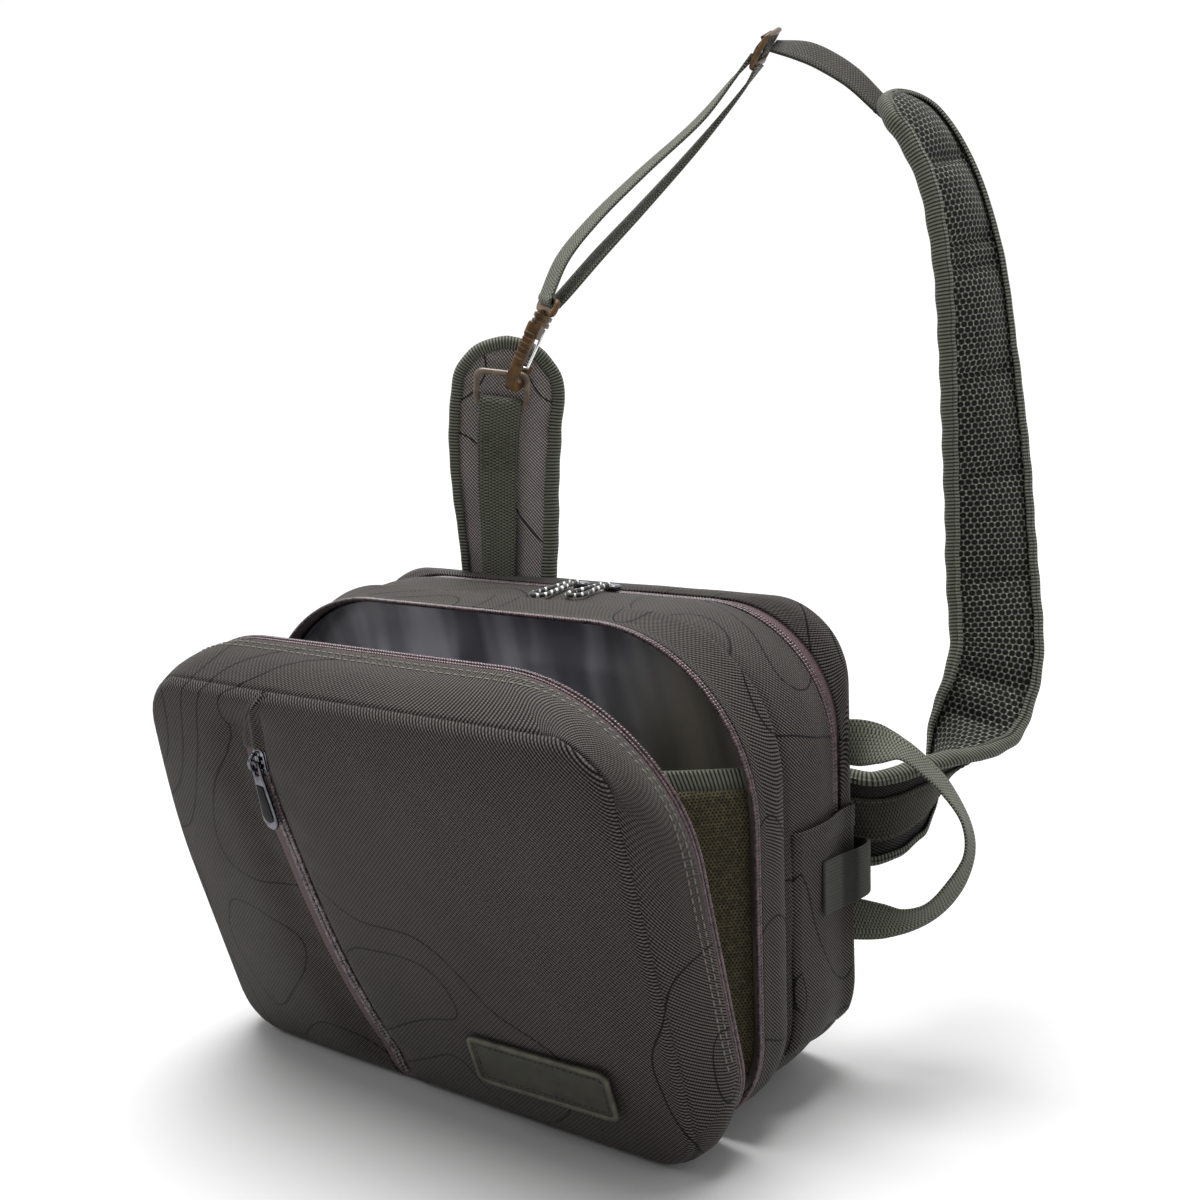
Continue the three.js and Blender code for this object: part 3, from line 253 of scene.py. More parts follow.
def both_sides(edge, steps):
    """Columns from -1 to 1: the close ones in edge at both sides, and the even steps between them."""
    edge = np.asarray(edge, float)
    return np.concatenate([-edge, steps, edge[::-1]])


def soft_noise(points, wavelength, seed):
    """Smooth noise from -1 to 1 at points in millimetres."""
    scaled = np.asarray(points, float) / wavelength + seed * 17.31
    base = np.floor(scaled).astype(np.int64)
    part = scaled - base
    part = part * part * (3 - 2 * part)
    total = np.zeros(scaled.shape[:-1])
    for corner in np.ndindex(2, 2, 2):
        cell = base + np.array(corner)
        mixed = cell[..., 0] * 73856093 ^ cell[..., 1] * 19349663 ^ cell[..., 2] * 83492791
        mixed = (mixed ^ (mixed >> 13)) * 1274126177
        value = ((mixed >> 3) & 0xFFFF) / 32767.5 - 1
        weight = np.prod(np.where(np.array(corner) == 1, part, 1 - part), axis=-1)
        total += value * weight
    return total


def catmull(rows, shares):
    """A centripetal Catmull-Rom curve through rows, at shares of the rows from 0 to 1."""
    rows = np.asarray(rows, float)
    spans = len(rows) - 1
    padded = np.vstack([2 * rows[0] - rows[1], rows, 2 * rows[-1] - rows[-2]])
    steps = np.clip(np.asarray(shares, float), 0, 1) * spans
    i = np.clip(steps.astype(int), 0, spans - 1)
    t = (steps - i)[:, None]
    p0, p1, p2, p3 = (padded[i + k] for k in range(4))
    knot = [np.linalg.norm(b - a, axis=1, keepdims=True) ** 0.5 for a, b in ((p0, p1), (p1, p2), (p2, p3))]
    d1 = np.where(knot[1] < 1e-4, 1.0, knot[1])
    d0 = np.where(knot[0] < 1e-4, d1, knot[0])
    d2 = np.where(knot[2] < 1e-4, d1, knot[2])
    m1 = ((p1 - p0) / d0 - (p2 - p0) / (d0 + d1) + (p2 - p1) / d1) * d1
    m2 = ((p2 - p1) / d1 - (p3 - p1) / (d1 + d2) + (p3 - p2) / d2) * d1
    cubic = 2 * p1 - 2 * p2 + m1 + m2
    square = -3 * p1 + 3 * p2 - 2 * m1 - m2
    return ((cubic * t + square) * t + m1) * t + p1


def frames_at(rows, shares):
    """A band's middle (at), direction across (u) and face direction (v), at shares of its rows."""
    rows = np.asarray(rows, float)
    shares = np.asarray(shares, float)
    step = 1e-4
    at = catmull(rows[:, :3], shares)
    tangent = unit(catmull(rows[:, :3], shares + step) - catmull(rows[:, :3], shares - step))
    across = catmull(rows[:, 3:6], shares)
    across = unit(across - tangent * np.sum(across * tangent, axis=1, keepdims=True))
    return {"at": at, "u": across, "v": unit(np.cross(tangent, across))}


def shares_by_length(rows, wanted):
    """Turns shares of a band's length into shares of its rows."""
    dense = np.linspace(0, 1, 801)
    run = lengths(catmull(np.asarray(rows, float)[:, :3], dense))
    return np.interp(np.asarray(wanted, float) * run[-1], run, dense), run[-1]


def join_frames(*parts):
    """Runs of frames, one after the other."""
    return {key: np.concatenate([part[key] for part in parts]) for key in ("at", "u", "v")}


# Building meshes

def settle(piece, nodes=(), body="bag"):
    """The piece rides on its body and stands for the nodes."""
    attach(piece, body)
    if nodes:
        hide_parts(*nodes)
    return piece


def new_object(name, points, faces, corner_uv, materials, face_slots=None):
    """A smooth mesh from points in metres, with its map in millimetres at each face's corners."""
    mesh = bpy.data.meshes.new(name)
    mesh.from_pydata(np.asarray(points).tolist(), [], faces)
    layer = mesh.uv_layers.new(name="mm")
    layer.data.foreach_set("uv", np.asarray(corner_uv, np.float32).ravel())
    for material in materials:
        mesh.materials.append(material)
    if face_slots is not None:
        mesh.polygons.foreach_set("material_index", np.asarray(face_slots, np.int32))
    mesh.polygons.foreach_set("use_smooth", np.ones(len(mesh.polygons), bool))
    mesh.validate()
    mesh.update()
    piece = bpy.data.objects.new(name, mesh)
    bpy.context.scene.collection.objects.link(piece)
    return piece


def grid_uv(grid, closed):
    """Millimetres along the columns and the rows of a grid, at each of its points."""
    line = np.concatenate([grid, grid[:, :1]], axis=1) if closed else grid
    across = np.cumsum(np.linalg.norm(np.diff(line, axis=1), axis=2), axis=1)
    across = np.concatenate([np.zeros((len(line), 1)), across], axis=1)
    along = np.cumsum(np.linalg.norm(np.diff(line, axis=0), axis=2), axis=0)
    along = np.concatenate([np.zeros((1, line.shape[1])), along], axis=0)
    if closed:
        across[:] = across.mean(axis=0)
        along[:] = along.mean(axis=1, keepdims=True)
    return np.stack([across, along], axis=2)


def surface(name, grid, material, closed=False, flip=False, caps=False, keep=None, uv=None, wall=0.0,
            slots=None):
    """A grid of points as a smooth mesh; wall gives it a thickness behind its face.

    keep marks the faces that are made, and slots is each column's number in a list of materials."""
    grid = np.asarray(grid, float)
    rows, columns = grid.shape[:2]
    spans = columns if closed else columns - 1
    row, column = np.meshgrid(np.arange(rows - 1), np.arange(spans), indexing="ij")
    if keep is not None:
        row, column = row[keep], column[keep]
    row, column = row.ravel(), column.ravel()
    if uv is None:
        uv = grid_uv(grid, closed)
    corners = [(row, column), (row, column + 1), (row + 1, column + 1), (row + 1, column)]
    if flip:
        corners.reverse()
    faces = np.stack([r * columns + c % columns for r, c in corners], axis=1).tolist()
    corner_uv = np.stack([uv[r, c] for r, c in corners], axis=1).reshape(-1, 2)
    face_slots = None if slots is None else [slots[c] for c in column]
    if caps:
        first = list(range(columns))
        last = [(rows - 1) * columns + c for c in range(columns)]
        faces += [first, last[::-1]] if flip else [first[::-1], last]
        corner_uv = np.concatenate([corner_uv, np.zeros((2 * columns, 2))])
        if face_slots is not None:
            face_slots += [0, 0]
    materials = material if isinstance(material, (list, tuple)) else [material]
    piece = new_object(name, place(grid.reshape(-1, 3)), faces, corner_uv, materials, face_slots)
    if wall:
        solid = piece.modifiers.new("wall", "SOLIDIFY")
        solid.thickness = wall / 1000.0
        solid.offset = -1.0
        solid.use_even_offset = True
        solid.thickness_clamp = 1.0
    return piece


def sweep(name, profile, frames, material):
    """A closed profile carried along frames, with its ends filled."""
    profile = np.asarray(profile, float)
    at, u, v = (frames[key][:, None] for key in ("at", "u", "v"))
    grid = at + profile[None, :, :1] * u + profile[None, :, 1:2] * v
    uv = grid_uv(grid, True)
    uv[..., 1] = lengths(frames["at"])[:, None]
    uv[..., 0] = uv[:1, :, 0]
    piece = surface(name, grid, material, closed=True, caps=True, uv=uv)
    merge_points(piece)
    return piece


def band_profile(width, thick):
    """A flat band's section with soft edges."""
    half = width / 2
    edge = thick / 2
    flat = np.linspace(-half + edge, half - edge, 6)
    turn = np.linspace(-math.pi / 2, math.pi / 2, 5)
    right = [(half - edge + edge * math.cos(a), edge * math.sin(a)) for a in turn]
    left = [(-x, -y) for x, y in right]
    face = [(x, -edge) for x in flat[1:-1]]
    back = [(-x, edge) for x, _ in face]
    return np.array(face + right + back + left)


def round_profile(radius_u, radius_v, sides):
    """An oval section."""
    angles = np.arange(sides) * 2 * math.pi / sides
    return np.stack([radius_u * np.cos(angles), radius_v * np.sin(angles)], axis=1)


def rounded_loop(width, height, radius, steps=8):
    """A rounded rectangle about the origin, counter-clockwise."""
    points = []
    for turn, (sx, sy) in enumerate(((1, 1), (-1, 1), (-1, -1), (1, -1))):
        for k in range(steps + 1):
            angle = math.pi / 2 * (turn + k / steps)
            points.append((sx * (width / 2 - radius) + radius * math.cos(angle),
                           sy * (height / 2 - radius) + radius * math.sin(angle)))
    return points


def plate(name, loops, thick, bevel, basis, material, nodes=(), body="bag", bend=None):
    """Closed loops, the first outside and the others holes, as a settled plate with rounded edges.

    basis is its origin and its x, y and z directions; bend moves its own points before that."""
    curve = bpy.data.curves.new(name + "_outline", "CURVE")
    curve.dimensions = "2D"
    curve.fill_mode = "BOTH"
    curve.extrude = max(thick / 2 - bevel, 0.0)
    curve.bevel_depth = bevel
    curve.bevel_resolution = 3
    curve.offset = -bevel
    for loop in loops:
        spline = curve.splines.new("POLY")
        spline.points.add(len(loop) - 1)
        spline.points.foreach_set("co", np.array([(x, y, 0.0, 1.0) for x, y in loop], np.float32).ravel())
        spline.use_cyclic_u = True
    maker = bpy.data.objects.new(name + "_outline", curve)
    bpy.context.scene.collection.objects.link(maker)
    shape = bpy.data.meshes.new_from_object(maker.evaluated_get(bpy.context.evaluated_depsgraph_get()))
    local = np.empty(len(shape.vertices) * 3, np.float32)
    shape.vertices.foreach_get("co", local)
    local = local.reshape(-1, 3).astype(float)
    faces = [list(face.vertices) for face in shape.polygons]
    bpy.data.objects.remove(maker)
    bpy.data.curves.remove(curve)
    bpy.data.meshes.remove(shape)
    if bend is not None:
        local = bend(local)
    corner_uv = [local[i][:2] for face in faces for i in face]
    origin, x, y, z = (np.asarray(part, float) for part in basis)
    points = origin + local[:, :1] * x + local[:, 1:2] * y + local[:, 2:] * z
    piece = new_object(name, place(points), faces, corner_uv, [material])
    merge_points(piece)
    piece.data.set_sharp_from_angle(angle=math.radians(40))
    return settle(piece, nodes, body)


def merge_points(piece, closed=True):
    """Joins points that coincide, and turns the faces of a closed piece outward."""
    work = bmesh.new()
    work.from_mesh(piece.data)
    bmesh.ops.remove_doubles(work, verts=work.verts, dist=1e-6)
    if closed:
        bmesh.ops.recalc_face_normals(work, faces=work.faces)
    work.to_mesh(piece.data)
    work.free()


def wire(name, points, radius, material):
    """A round wire through points, in the bag's frame."""
    points = np.asarray(points, float)
    tangent = unit(np.gradient(points, axis=0))
    guide = np.array([0.31, 0.62, 0.72])
    u = unit(np.cross(tangent, guide))
    frames = {"at": points, "u": u, "v": unit(np.cross(tangent, u))}
    return sweep(name, round_profile(radius, radius, 10), frames, material)


def tube_faces(start, rings, sides, turned=False):
    """The faces of rings of points that follow each other from start, with both ends filled."""
    faces = []
    for i in range(rings - 1):
        for j in range(sides):
            a = start + i * sides + j
            b = start + i * sides + (j + 1) % sides
            faces.append([a, a + sides, b + sides, b] if turned else [a, b, b + sides, a + sides])
    end = start + (rings - 1) * sides
    first, last = list(range(start, start + sides)), list(range(end, end + sides))
    return faces + ([first, last[::-1]] if turned else [first[::-1], last])


def beads(name, points, faces, material):
    """Small closed forms as one mesh without a map."""
    corner_uv = np.zeros((sum(len(face) for face in faces), 2))
    piece = new_object(name, place(np.array(points)), faces, corner_uv, [material])
    merge_points(piece)
    return piece


def stitches(name, runs, material, length, gap, radius, rise=0.15):
    """Rows of single stitches along runs of (points, outward directions), as one settled mesh."""
    ring = round_profile(1.0, 0.8, 6)
    stations = np.array([0.0, 0.12, 0.88, 1.0]) * length
    sizes = np.array([0.25, 1.0, 1.0, 0.25]) * radius
    lifts = (-1.5 * rise, rise, rise, -1.5 * rise)
    points, faces = [], []
    for path, out in runs:
        run = lengths(path)
        count = int(run[-1] // (length + gap))
        for k in range(count):
            ends = stations + k * (length + gap)
            at = read_off(ends, run, path)
            up = unit(read_off(ends, run, out))
            side = unit(np.cross(at[-1] - at[0], up))
            faces += tube_faces(len(points), len(ends), len(ring))
            for i, lift in enumerate(lifts):
                for a, b in ring:
                    points.append(at[i] + side[i] * a * sizes[i] + up[i] * (b * sizes[i] + lift))
    return settle(beads(name, points, faces, material))


def coil(name, runs, material, pitch, radius):
    """Zip coils along runs of frames: a bead for each turn, as one settled mesh."""
    shape = ((0.0, 0.4), (0.22, 0.92), (0.5, 1.0), (0.78, 0.92))
    ring = round_profile(radius[0], radius[1], 8)
    points, faces = [], []
    for frames in runs:
        run = lengths(frames["at"])
        turns = int(run[-1] // pitch)
        stations = np.array([(k + part) * pitch for k in range(turns) for part, _ in shape])
        sizes = np.array([size for _ in range(turns) for _, size in shape])
        at, u, v = (read_off(stations, run, frames[key])[:, None] for key in ("at", "u", "v"))
        turn = ring[None] * sizes[:, None, None]
        faces += tube_faces(len(points), len(stations), len(ring), turned=True)
        points.extend((at + turn[..., :1] * u + turn[..., 1:] * v).reshape(-1, 3))
    return settle(beads(name, points, faces, material))


# Materials

def tone(red, green, blue):
    """A screen colour from 0 to 255, as the linear colour that a shader takes."""
    shares = [value / 255 for value in (red, green, blue)]
    return (*(v / 12.92 if v <= 10 / 255 else ((v + 0.055) / 1.055) ** 2.4 for v in shares), 1.0)


class Paint:
    """A node material, with short calls for the nodes used here."""

    def __init__(self, name, **sockets):
        self.material = bpy.data.materials.new(name)
        self.material.use_nodes = True
        self.tree = self.material.node_tree
        self.shader = self.tree.nodes["Principled BSDF"]
        for socket, value in sockets.items():
            self.shader.inputs[socket.replace("_", " ").title().replace("Ior", "IOR")].default_value = value

    def feed(self, socket, value):
        """Links a socket to an output, or sets its value."""
        if isinstance(value, bpy.types.NodeSocket):
            self.tree.links.new(value, socket)
        else:
            socket.default_value = value

    def node(self, kind, **settings):
        """A new node of that kind."""
        node = self.tree.nodes.new("ShaderNode" + kind)
        for key, value in settings.items():
            setattr(node, key, value)
        return node

    def fed(self, node, values):
        """A node with its first inputs fed in order."""
        for socket, value in zip(node.inputs, values):
            self.feed(socket, value)
        return node

    def math(self, operation, *values):
        """The result of an operation on values."""
        return self.fed(self.node("Math", operation=operation), values).outputs[0]

    def vector(self, operation, *values):
        """The outputs of an operation on vectors."""
        return self.fed(self.node("VectorMath", operation=operation), values).outputs

    def step(self, value, low, high, to_low=0.0, to_high=1.0):
        """A soft step from to_low to to_high."""
        node = self.node("MapRange", interpolation_type="SMOOTHSTEP")
        return self.fed(node, (value, low, high, to_low, to_high)).outputs[0]

    def blend(self, factor, a, b):
        """A mix of two colours."""
        node = self.node("Mix", data_type="RGBA")
        for index, value in ((0, factor), (6, a), (7, b)):
            self.feed(node.inputs[index], value)
        return node.outputs[2]

    def split(self, vector):
        """The three parts of a vector."""
        return self.fed(self.node("SeparateXYZ"), [vector]).outputs

    def joined(self, *parts):
        """A vector of three parts."""
        return self.fed(self.node("CombineXYZ"), parts).outputs[0]

    def millimetres(self):
        """The piece's own map: millimetres across it and along it."""
        return tuple(self.split(self.node("UVMap", uv_map="mm").outputs[0]))[:2]

    def where(self):
        """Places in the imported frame, in metres."""
        return self.node("TexCoord").outputs["Object"]

    def noise(self, vector, scale, detail, roughness=0.5):
        """A smooth noise from 0 to 1."""
        node = self.node("TexNoise")
        self.feed(node.inputs["Vector"], vector)
        for key, value in (("Scale", scale), ("Detail", detail), ("Roughness", roughness)):
            node.inputs[key].default_value = value
        return node.outputs[0]

    def wave(self, value, pitch):
        """A smooth wave from 0 to 1 of that pitch."""
        turned = self.math("SINE", self.math("MULTIPLY", value, 2 * math.pi / pitch))
        return self.math("MULTIPLY_ADD", turned, 0.5, 0.5)

    def colour(self, value):
        """The base colour."""
        self.feed(self.shader.inputs["Base Color"], value)

    def rough(self, noise, low, high):
        """Roughness between low and high, as a noise goes."""
        self.feed(self.shader.inputs["Roughness"], self.step(noise, 0.3, 0.7, low, high))

    def bump(self, height, depth, strength):
        """Relief of that depth in millimetres."""
        node = self.node("Bump")
        node.inputs["Strength"].default_value = strength
        node.inputs["Distance"].default_value = depth / 1000
        self.tree.links.new(height, node.inputs["Height"])
        self.tree.links.new(node.outputs[0], self.shader.inputs["Normal"])


def contour_lines(paint):
    """Thin lines of even width round the hills of a smooth noise, and none in its low parts."""
    levels, width, floor = 15.0, 0.0011, 0.47
    hills = {"scale": 6.5, "detail": 1.2, "roughness": 0.42}
    where = paint.where()
    reach = 0.0015
    here = paint.noise(where, **hills)
    rises = []
    for offset in ((reach, 0, 0), (0, reach, 0), (0, 0, reach)):
        ahead = paint.noise(paint.vector("ADD", where, offset)[0], **hills)
        rises.append(paint.math("SUBTRACT", ahead, here))
    normal = paint.node("NewGeometry").outputs["Normal"]
    along_face = paint.vector("CROSS_PRODUCT", paint.joined(*rises), normal)[0]
    slope = paint.vector("LENGTH", along_face)["Value"]
    slope = paint.math("MAXIMUM", paint.math("DIVIDE", slope, reach), 0.1)
    phase = paint.math("FRACT", paint.math("MULTIPLY", here, levels))
    away = paint.math("ABSOLUTE", paint.math("SUBTRACT", phase, 0.5))
    distance = paint.math("DIVIDE", paint.math("DIVIDE", away, levels), slope)
    line = paint.step(distance, width * 0.3, width * 0.7, 1.0, 0.0)
    return paint.math("MULTIPLY", line, paint.step(here, floor, floor + 0.002))


def cloth_material(name, light, dark, lines=True):
    """Twill: fine diagonal ridges with cross threads, soft patches of tone and, where printed, thin lines."""
    paint = Paint(name, sheen_weight=0.09, sheen_roughness=0.35, specular_ior_level=0.1)
    pitch = 2.0
    across, along = paint.millimetres()
    ridge = paint.wave(paint.math("ADD", across, along), pitch)
    cross = paint.wave(paint.math("SUBTRACT", across, along), pitch * 1.3)
    weave = paint.math("MULTIPLY", ridge, paint.math("MULTIPLY_ADD", cross, 0.5, 0.5))
    patches = paint.noise(paint.where(), 14.0, 3.0)
    fleck = paint.noise(paint.where(), 900.0, 1.0)
    shade = paint.math("MULTIPLY_ADD", weave, 0.8, paint.math("MULTIPLY", patches, 0.2))
    shade = paint.math("MULTIPLY_ADD", fleck, 0.2, shade)
    base = paint.blend(paint.step(shade, 0.25, 0.85), dark, light)
    if lines:
        base = paint.blend(paint.math("MULTIPLY", contour_lines(paint), 0.9), base, tone(6, 6, 11))
    paint.colour(base)
    paint.rough(patches, 0.6, 0.75)
    paint.bump(weave, 0.4, 0.7)
    return paint.material


def webbing_material(name, light, dark, rib=1.9, column=2.1, broken=True):
    """Woven tape: ribs across it, in columns; where broken, every other column is set over by half a rib."""
    paint = Paint(name, sheen_weight=0.06, specular_ior_level=0.2)
    across, along = paint.millimetres()
    if broken:
        number = paint.math("FLOOR", paint.math("DIVIDE", across, column))
        along = paint.math("ADD", along, paint.math("MULTIPLY", number, rib / 2))
    ribs = paint.wave(along, rib)
    columns = paint.wave(across, column)
    weave = paint.math("MULTIPLY", paint.step(ribs, 0.1, 0.75), paint.step(columns, -0.35, 0.4))
    fleck = paint.noise(paint.where(), 700.0, 2.0)
    shade = paint.math("MULTIPLY_ADD", paint.math("SUBTRACT", fleck, 0.5), 0.5, weave)
    paint.colour(paint.blend(paint.step(shade, 0.0, 1.0), dark, light))
    paint.rough(fleck, 0.68, 0.86)
    paint.bump(weave, 0.45, 0.8)
    return paint.material


def tape_material(name, light, dark):
    """Zip tape: a fine herringbone."""
    paint = Paint(name, sheen_weight=0.08, specular_ior_level=0.25)
    across, along = paint.millimetres()
    fold = paint.math("PINGPONG", across, 1.6)
    ridge = paint.wave(paint.math("ADD", along, fold), 1.1)
    fleck = paint.noise(paint.where(), 800.0, 2.0)
    shade = paint.math("MULTIPLY_ADD", paint.math("SUBTRACT", fleck, 0.5), 0.6, ridge)
    paint.colour(paint.blend(shade, dark, light))
    paint.rough(fleck, 0.6, 0.8)
    paint.bump(ridge, 0.2, 0.7)
    return paint.material


def coil_material(name, light, dark):
    """Zip coil: glossy nylon with soft spots of tone."""
    paint = Paint(name, coat_weight=0.2, coat_roughness=0.2)
    spots = paint.noise(paint.where(), 420.0, 2.0)
    paint.colour(paint.blend(paint.step(spots, 0.35, 0.7), dark, light))
    paint.rough(spots, 0.25, 0.42)
    paint.bump(spots, 0.1, 0.5)
    return paint.material


def lining_material():
    """Coated lining: satin, with a faint weave, slanted stripes of painted sheen and painted shade for its
    soft folds, and a tone that warms towards the right.
    """
    paint = Paint("lining", specular_ior_level=0.7)
    across, along = paint.millimetres()
    weave = paint.math("MULTIPLY", paint.wave(across, 1.3), paint.wave(along, 1.3))
    cloud = paint.noise(paint.where(), 9.0, 3.0)
    x, _, z = paint.split(paint.where())
    warm = paint.step(paint.math("MULTIPLY_ADD", z, -0.35, x), 0.06, 0.16)
    # Slanted stripes painted lighter and darker: painted sheen on the ridges of the folds and painted shade
    # in their hollows.
    drawn = paint.joined(paint.math("MULTIPLY_ADD", z, 0.25, x), 0.0, paint.math("MULTIPLY", z, 0.12))
    fold_light_and_shade = paint.noise(drawn, 34.0, 2.0)
    fold_light_and_shade = paint.step(paint.math("MULTIPLY_ADD", cloud, 0.4, fold_light_and_shade), 0.55, 0.88)
    cool = paint.blend(fold_light_and_shade, tone(112, 112, 123), tone(206, 206, 219))
    olive = paint.blend(fold_light_and_shade, tone(84, 81, 73), tone(124, 120, 109))
    paint.colour(paint.blend(warm, cool, olive))
    paint.rough(cloud, 0.36, 0.5)
    paint.bump(weave, 0.08, 0.5)
    return paint.material


def mesh_material(name, light, dark, pitch, hole, depth):
    """Knitted mesh: rows of small holes, every other row set over by half."""
    paint = Paint(name, sheen_weight=0.05, specular_ior_level=0.2)
    across, along = paint.millimetres()
    rise = pitch * 0.82
    row = paint.math("FLOOR", paint.math("DIVIDE", along, rise))
    column = paint.math("MULTIPLY_ADD", paint.math("MODULO", row, 2.0), pitch / 2, across)
    x = paint.math("SUBTRACT", paint.math("FLOORED_MODULO", column, pitch), pitch / 2)
    y = paint.math("SUBTRACT", paint.math("FLOORED_MODULO", along, rise), rise / 2)
    reach = paint.math("SQRT", paint.math("ADD", paint.math("MULTIPLY", x, x), paint.math("MULTIPLY", y, y)))
    solid = paint.step(reach, pitch * hole * 0.45, pitch * hole * 0.8)
    fleck = paint.noise(paint.where(), 500.0, 2.0)
    thread = paint.blend(paint.step(fleck, 0.3, 0.7), dark, light)
    # The holes are painted near black: painted shade for the depth seen through them.
    paint.colour(paint.blend(solid, tone(9, 9, 8), thread))
    paint.rough(fleck, 0.75, 0.92)
    paint.bump(solid, depth, 0.8)
    return paint.material


def hard_material(name, light, dark, rough, metal=0.0, shine=0.5):
    """Moulded plastic, rubber or metal: a soft drift of tone and a fine grain."""
    paint = Paint(name, metallic=metal, specular_ior_level=shine)
    drift = paint.noise(paint.where(), 160.0, 3.0)
    fine = paint.noise(paint.where(), 1440.0, 2.0)
    paint.colour(paint.blend(paint.step(drift, 0.35, 0.65), dark, light))
    paint.rough(drift, *rough)
    paint.bump(fine, 0.03, 0.5)
    return paint.material


def cord_material():
    """Black cord with white flecks in a slanted row."""
    paint = Paint("flecked_cord", sheen_weight=0.2)
    where = paint.where()
    x, y, _ = paint.split(where)
    bands = paint.wave(paint.math("ADD", x, paint.math("MULTIPLY", y, 1.3)), 0.0075)
    fleck = paint.noise(where, 260.0, 1.0)
    white = paint.step(paint.math("MULTIPLY_ADD", bands, 0.6, fleck), 0.97, 1.03)
    weave = paint.noise(where, 1200.0, 1.0)
    paint.colour(paint.blend(white, tone(26, 26, 28), tone(232, 232, 230)))
    paint.rough(weave, 0.5, 0.7)
    paint.bump(weave, 0.2, 0.8)
    return paint.material


def thread_material(name, light, dark):
    """Sewing thread with a fine twist."""
    paint = Paint(name)
    twist = paint.noise(paint.where(), 900.0, 1.0)
    paint.colour(paint.blend(twist, dark, light))
    paint.rough(twist, 0.5, 0.7)
    paint.bump(twist, 0.1, 0.6)
    return paint.material


def floor_material():
    """Matt grey floor."""
    paint = Paint("studio_floor", specular_ior_level=0.1)
    drift = paint.noise(paint.where(), 0.6, 2.0)
    paint.colour(paint.blend(drift, (0.49, 0.49, 0.49, 1), (0.51, 0.51, 0.51, 1)))
    paint.rough(drift, 0.85, 0.95)
    paint.bump(paint.noise(paint.where(), 300.0, 2.0), 0.05, 0.3)
    return paint.material


FABRIC = cloth_material("printed_twill", tone(88, 83, 79), tone(3, 3, 3))
TAB_FABRIC = cloth_material("tab_twill", tone(172, 164, 161), tone(64, 60, 60))
PLAIN_FABRIC = cloth_material("plain_twill", tone(58, 56, 55), tone(18, 17, 17), lines=False)
LINING_CLOTH = lining_material()
TAPE = tape_material("zip_tape", tone(108, 87, 91), tone(56, 44, 47))
COIL = coil_material("zip_coil", tone(96, 74, 79), tone(50, 37, 41))
COIL_DARK = coil_material("pocket_zip_coil", tone(128, 114, 117), tone(56, 48, 51))
BELLOWS_MESH = mesh_material("olive_mesh", tone(84, 76, 54), tone(52, 47, 33), 1.9, hole=0.42, depth=0.3)
WEBBING_CLOTH = webbing_material("ribbed_webbing", tone(106, 108, 94), tone(40, 41, 35))
# A darker copy of the ribbed webbing, for the strap band and the adjuster's wrap: painted shade for the
# strap's shaded underside.
STRAP_CLOTH_PAINTED_SHADE = webbing_material("strap_webbing", tone(66, 63, 53), tone(22, 21, 17))
BINDING_CLOTH = webbing_material("ribbed_binding", tone(104, 106, 94), tone(36, 37, 32), rib=2.0, column=40.0,
                                 broken=False)
ELASTIC = webbing_material("fine_elastic", tone(56, 56, 51), tone(20, 20, 18), rib=30.0, column=1.9,
                           broken=False)
AIR_MESH = mesh_material("air_mesh", tone(152, 153, 139), tone(100, 101, 92), 3.9, hole=0.74, depth=1.1)
BROWN_PLASTIC = hard_material("brown_plastic", tone(92, 66, 34), tone(64, 45, 22), (0.36, 0.5), shine=0.25)
GREY_PLASTIC = hard_material("grey_brown_plastic", tone(118, 103, 86), tone(88, 76, 62), (0.28, 0.4),
                             shine=0.45)
STEEL = hard_material("bright_steel", tone(235, 235, 236), tone(205, 205, 208), (0.14, 0.24), metal=1.0)
CHROME = hard_material("dark_chrome", tone(140, 140, 147), tone(86, 86, 93), (0.07, 0.15), metal=1.0)
DARK_CHROME = hard_material("smoked_chrome", tone(104, 104, 111), tone(60, 60, 66), (0.08, 0.16), metal=1.0)
BLACK_ENAMEL = hard_material("black_enamel", tone(11, 11, 13), tone(6, 6, 7), (0.3, 0.42), shine=0.06)
RUBBER = hard_material("olive_rubber", tone(50, 49, 37), tone(37, 36, 28), (0.5, 0.62))
RUBBER_RIM = hard_material("olive_rubber_rim", tone(78, 76, 62), tone(58, 56, 46), (0.5, 0.62))
FLECKED_CORD = cord_material()
LIGHT_THREAD = thread_material("light_thread", tone(84, 80, 68), tone(50, 47, 40))
TOP_THREAD = thread_material("top_thread", tone(112, 107, 95), tone(72, 68, 60))
DARK_THREAD = thread_material("dark_thread", tone(34, 33, 34), tone(20, 20, 22))


# Camera, light and floor

def add_camera():
    """The camera that took the photograph; roll turns it about its own line of sight."""
    azimuth, elevation, roll = (math.radians(CAMERA[key]) for key in ("azimuth", "elevation", "roll"))
    back = Vector((math.sin(azimuth) * math.cos(elevation), -math.cos(azimuth) * math.cos(elevation),
                   math.sin(elevation)))
    flat_right = Vector((math.cos(azimuth), math.sin(azimuth), 0))
    flat_up = back.cross(flat_right)
    right = flat_right * math.cos(roll) + flat_up * math.sin(roll)
    up = flat_up * math.cos(roll) - flat_right * math.sin(roll)
    eye = Vector(place(CAMERA["target"])) + back * (CAMERA["distance"] / 1000)
    data = bpy.data.cameras.new("photo_camera")
    data.lens = CAMERA["lens"]
    data.sensor_width = CAMERA["sensor"]
    data.clip_start = 0.01
    camera = bpy.data.objects.new("photo_camera", data)
    camera.matrix_world = Matrix.Translation(eye) @ Matrix((right, up, back)).transposed().to_4x4()
    bpy.context.scene.collection.objects.link(camera)
    bpy.context.scene.camera = camera


def add_floor():
    """The floor under the bag."""
    z = place((0, 0, FLOOR_Z))[2]
    corners = [(x * FLOOR_REACH_M, y * FLOOR_REACH_M, z) for x, y in ((-1, -1), (1, -1), (1, 1), (-1, 1))]
    floor = new_object("studio_floor", corners, [[0, 1, 2, 3]], np.zeros((4, 2)), [floor_material()])


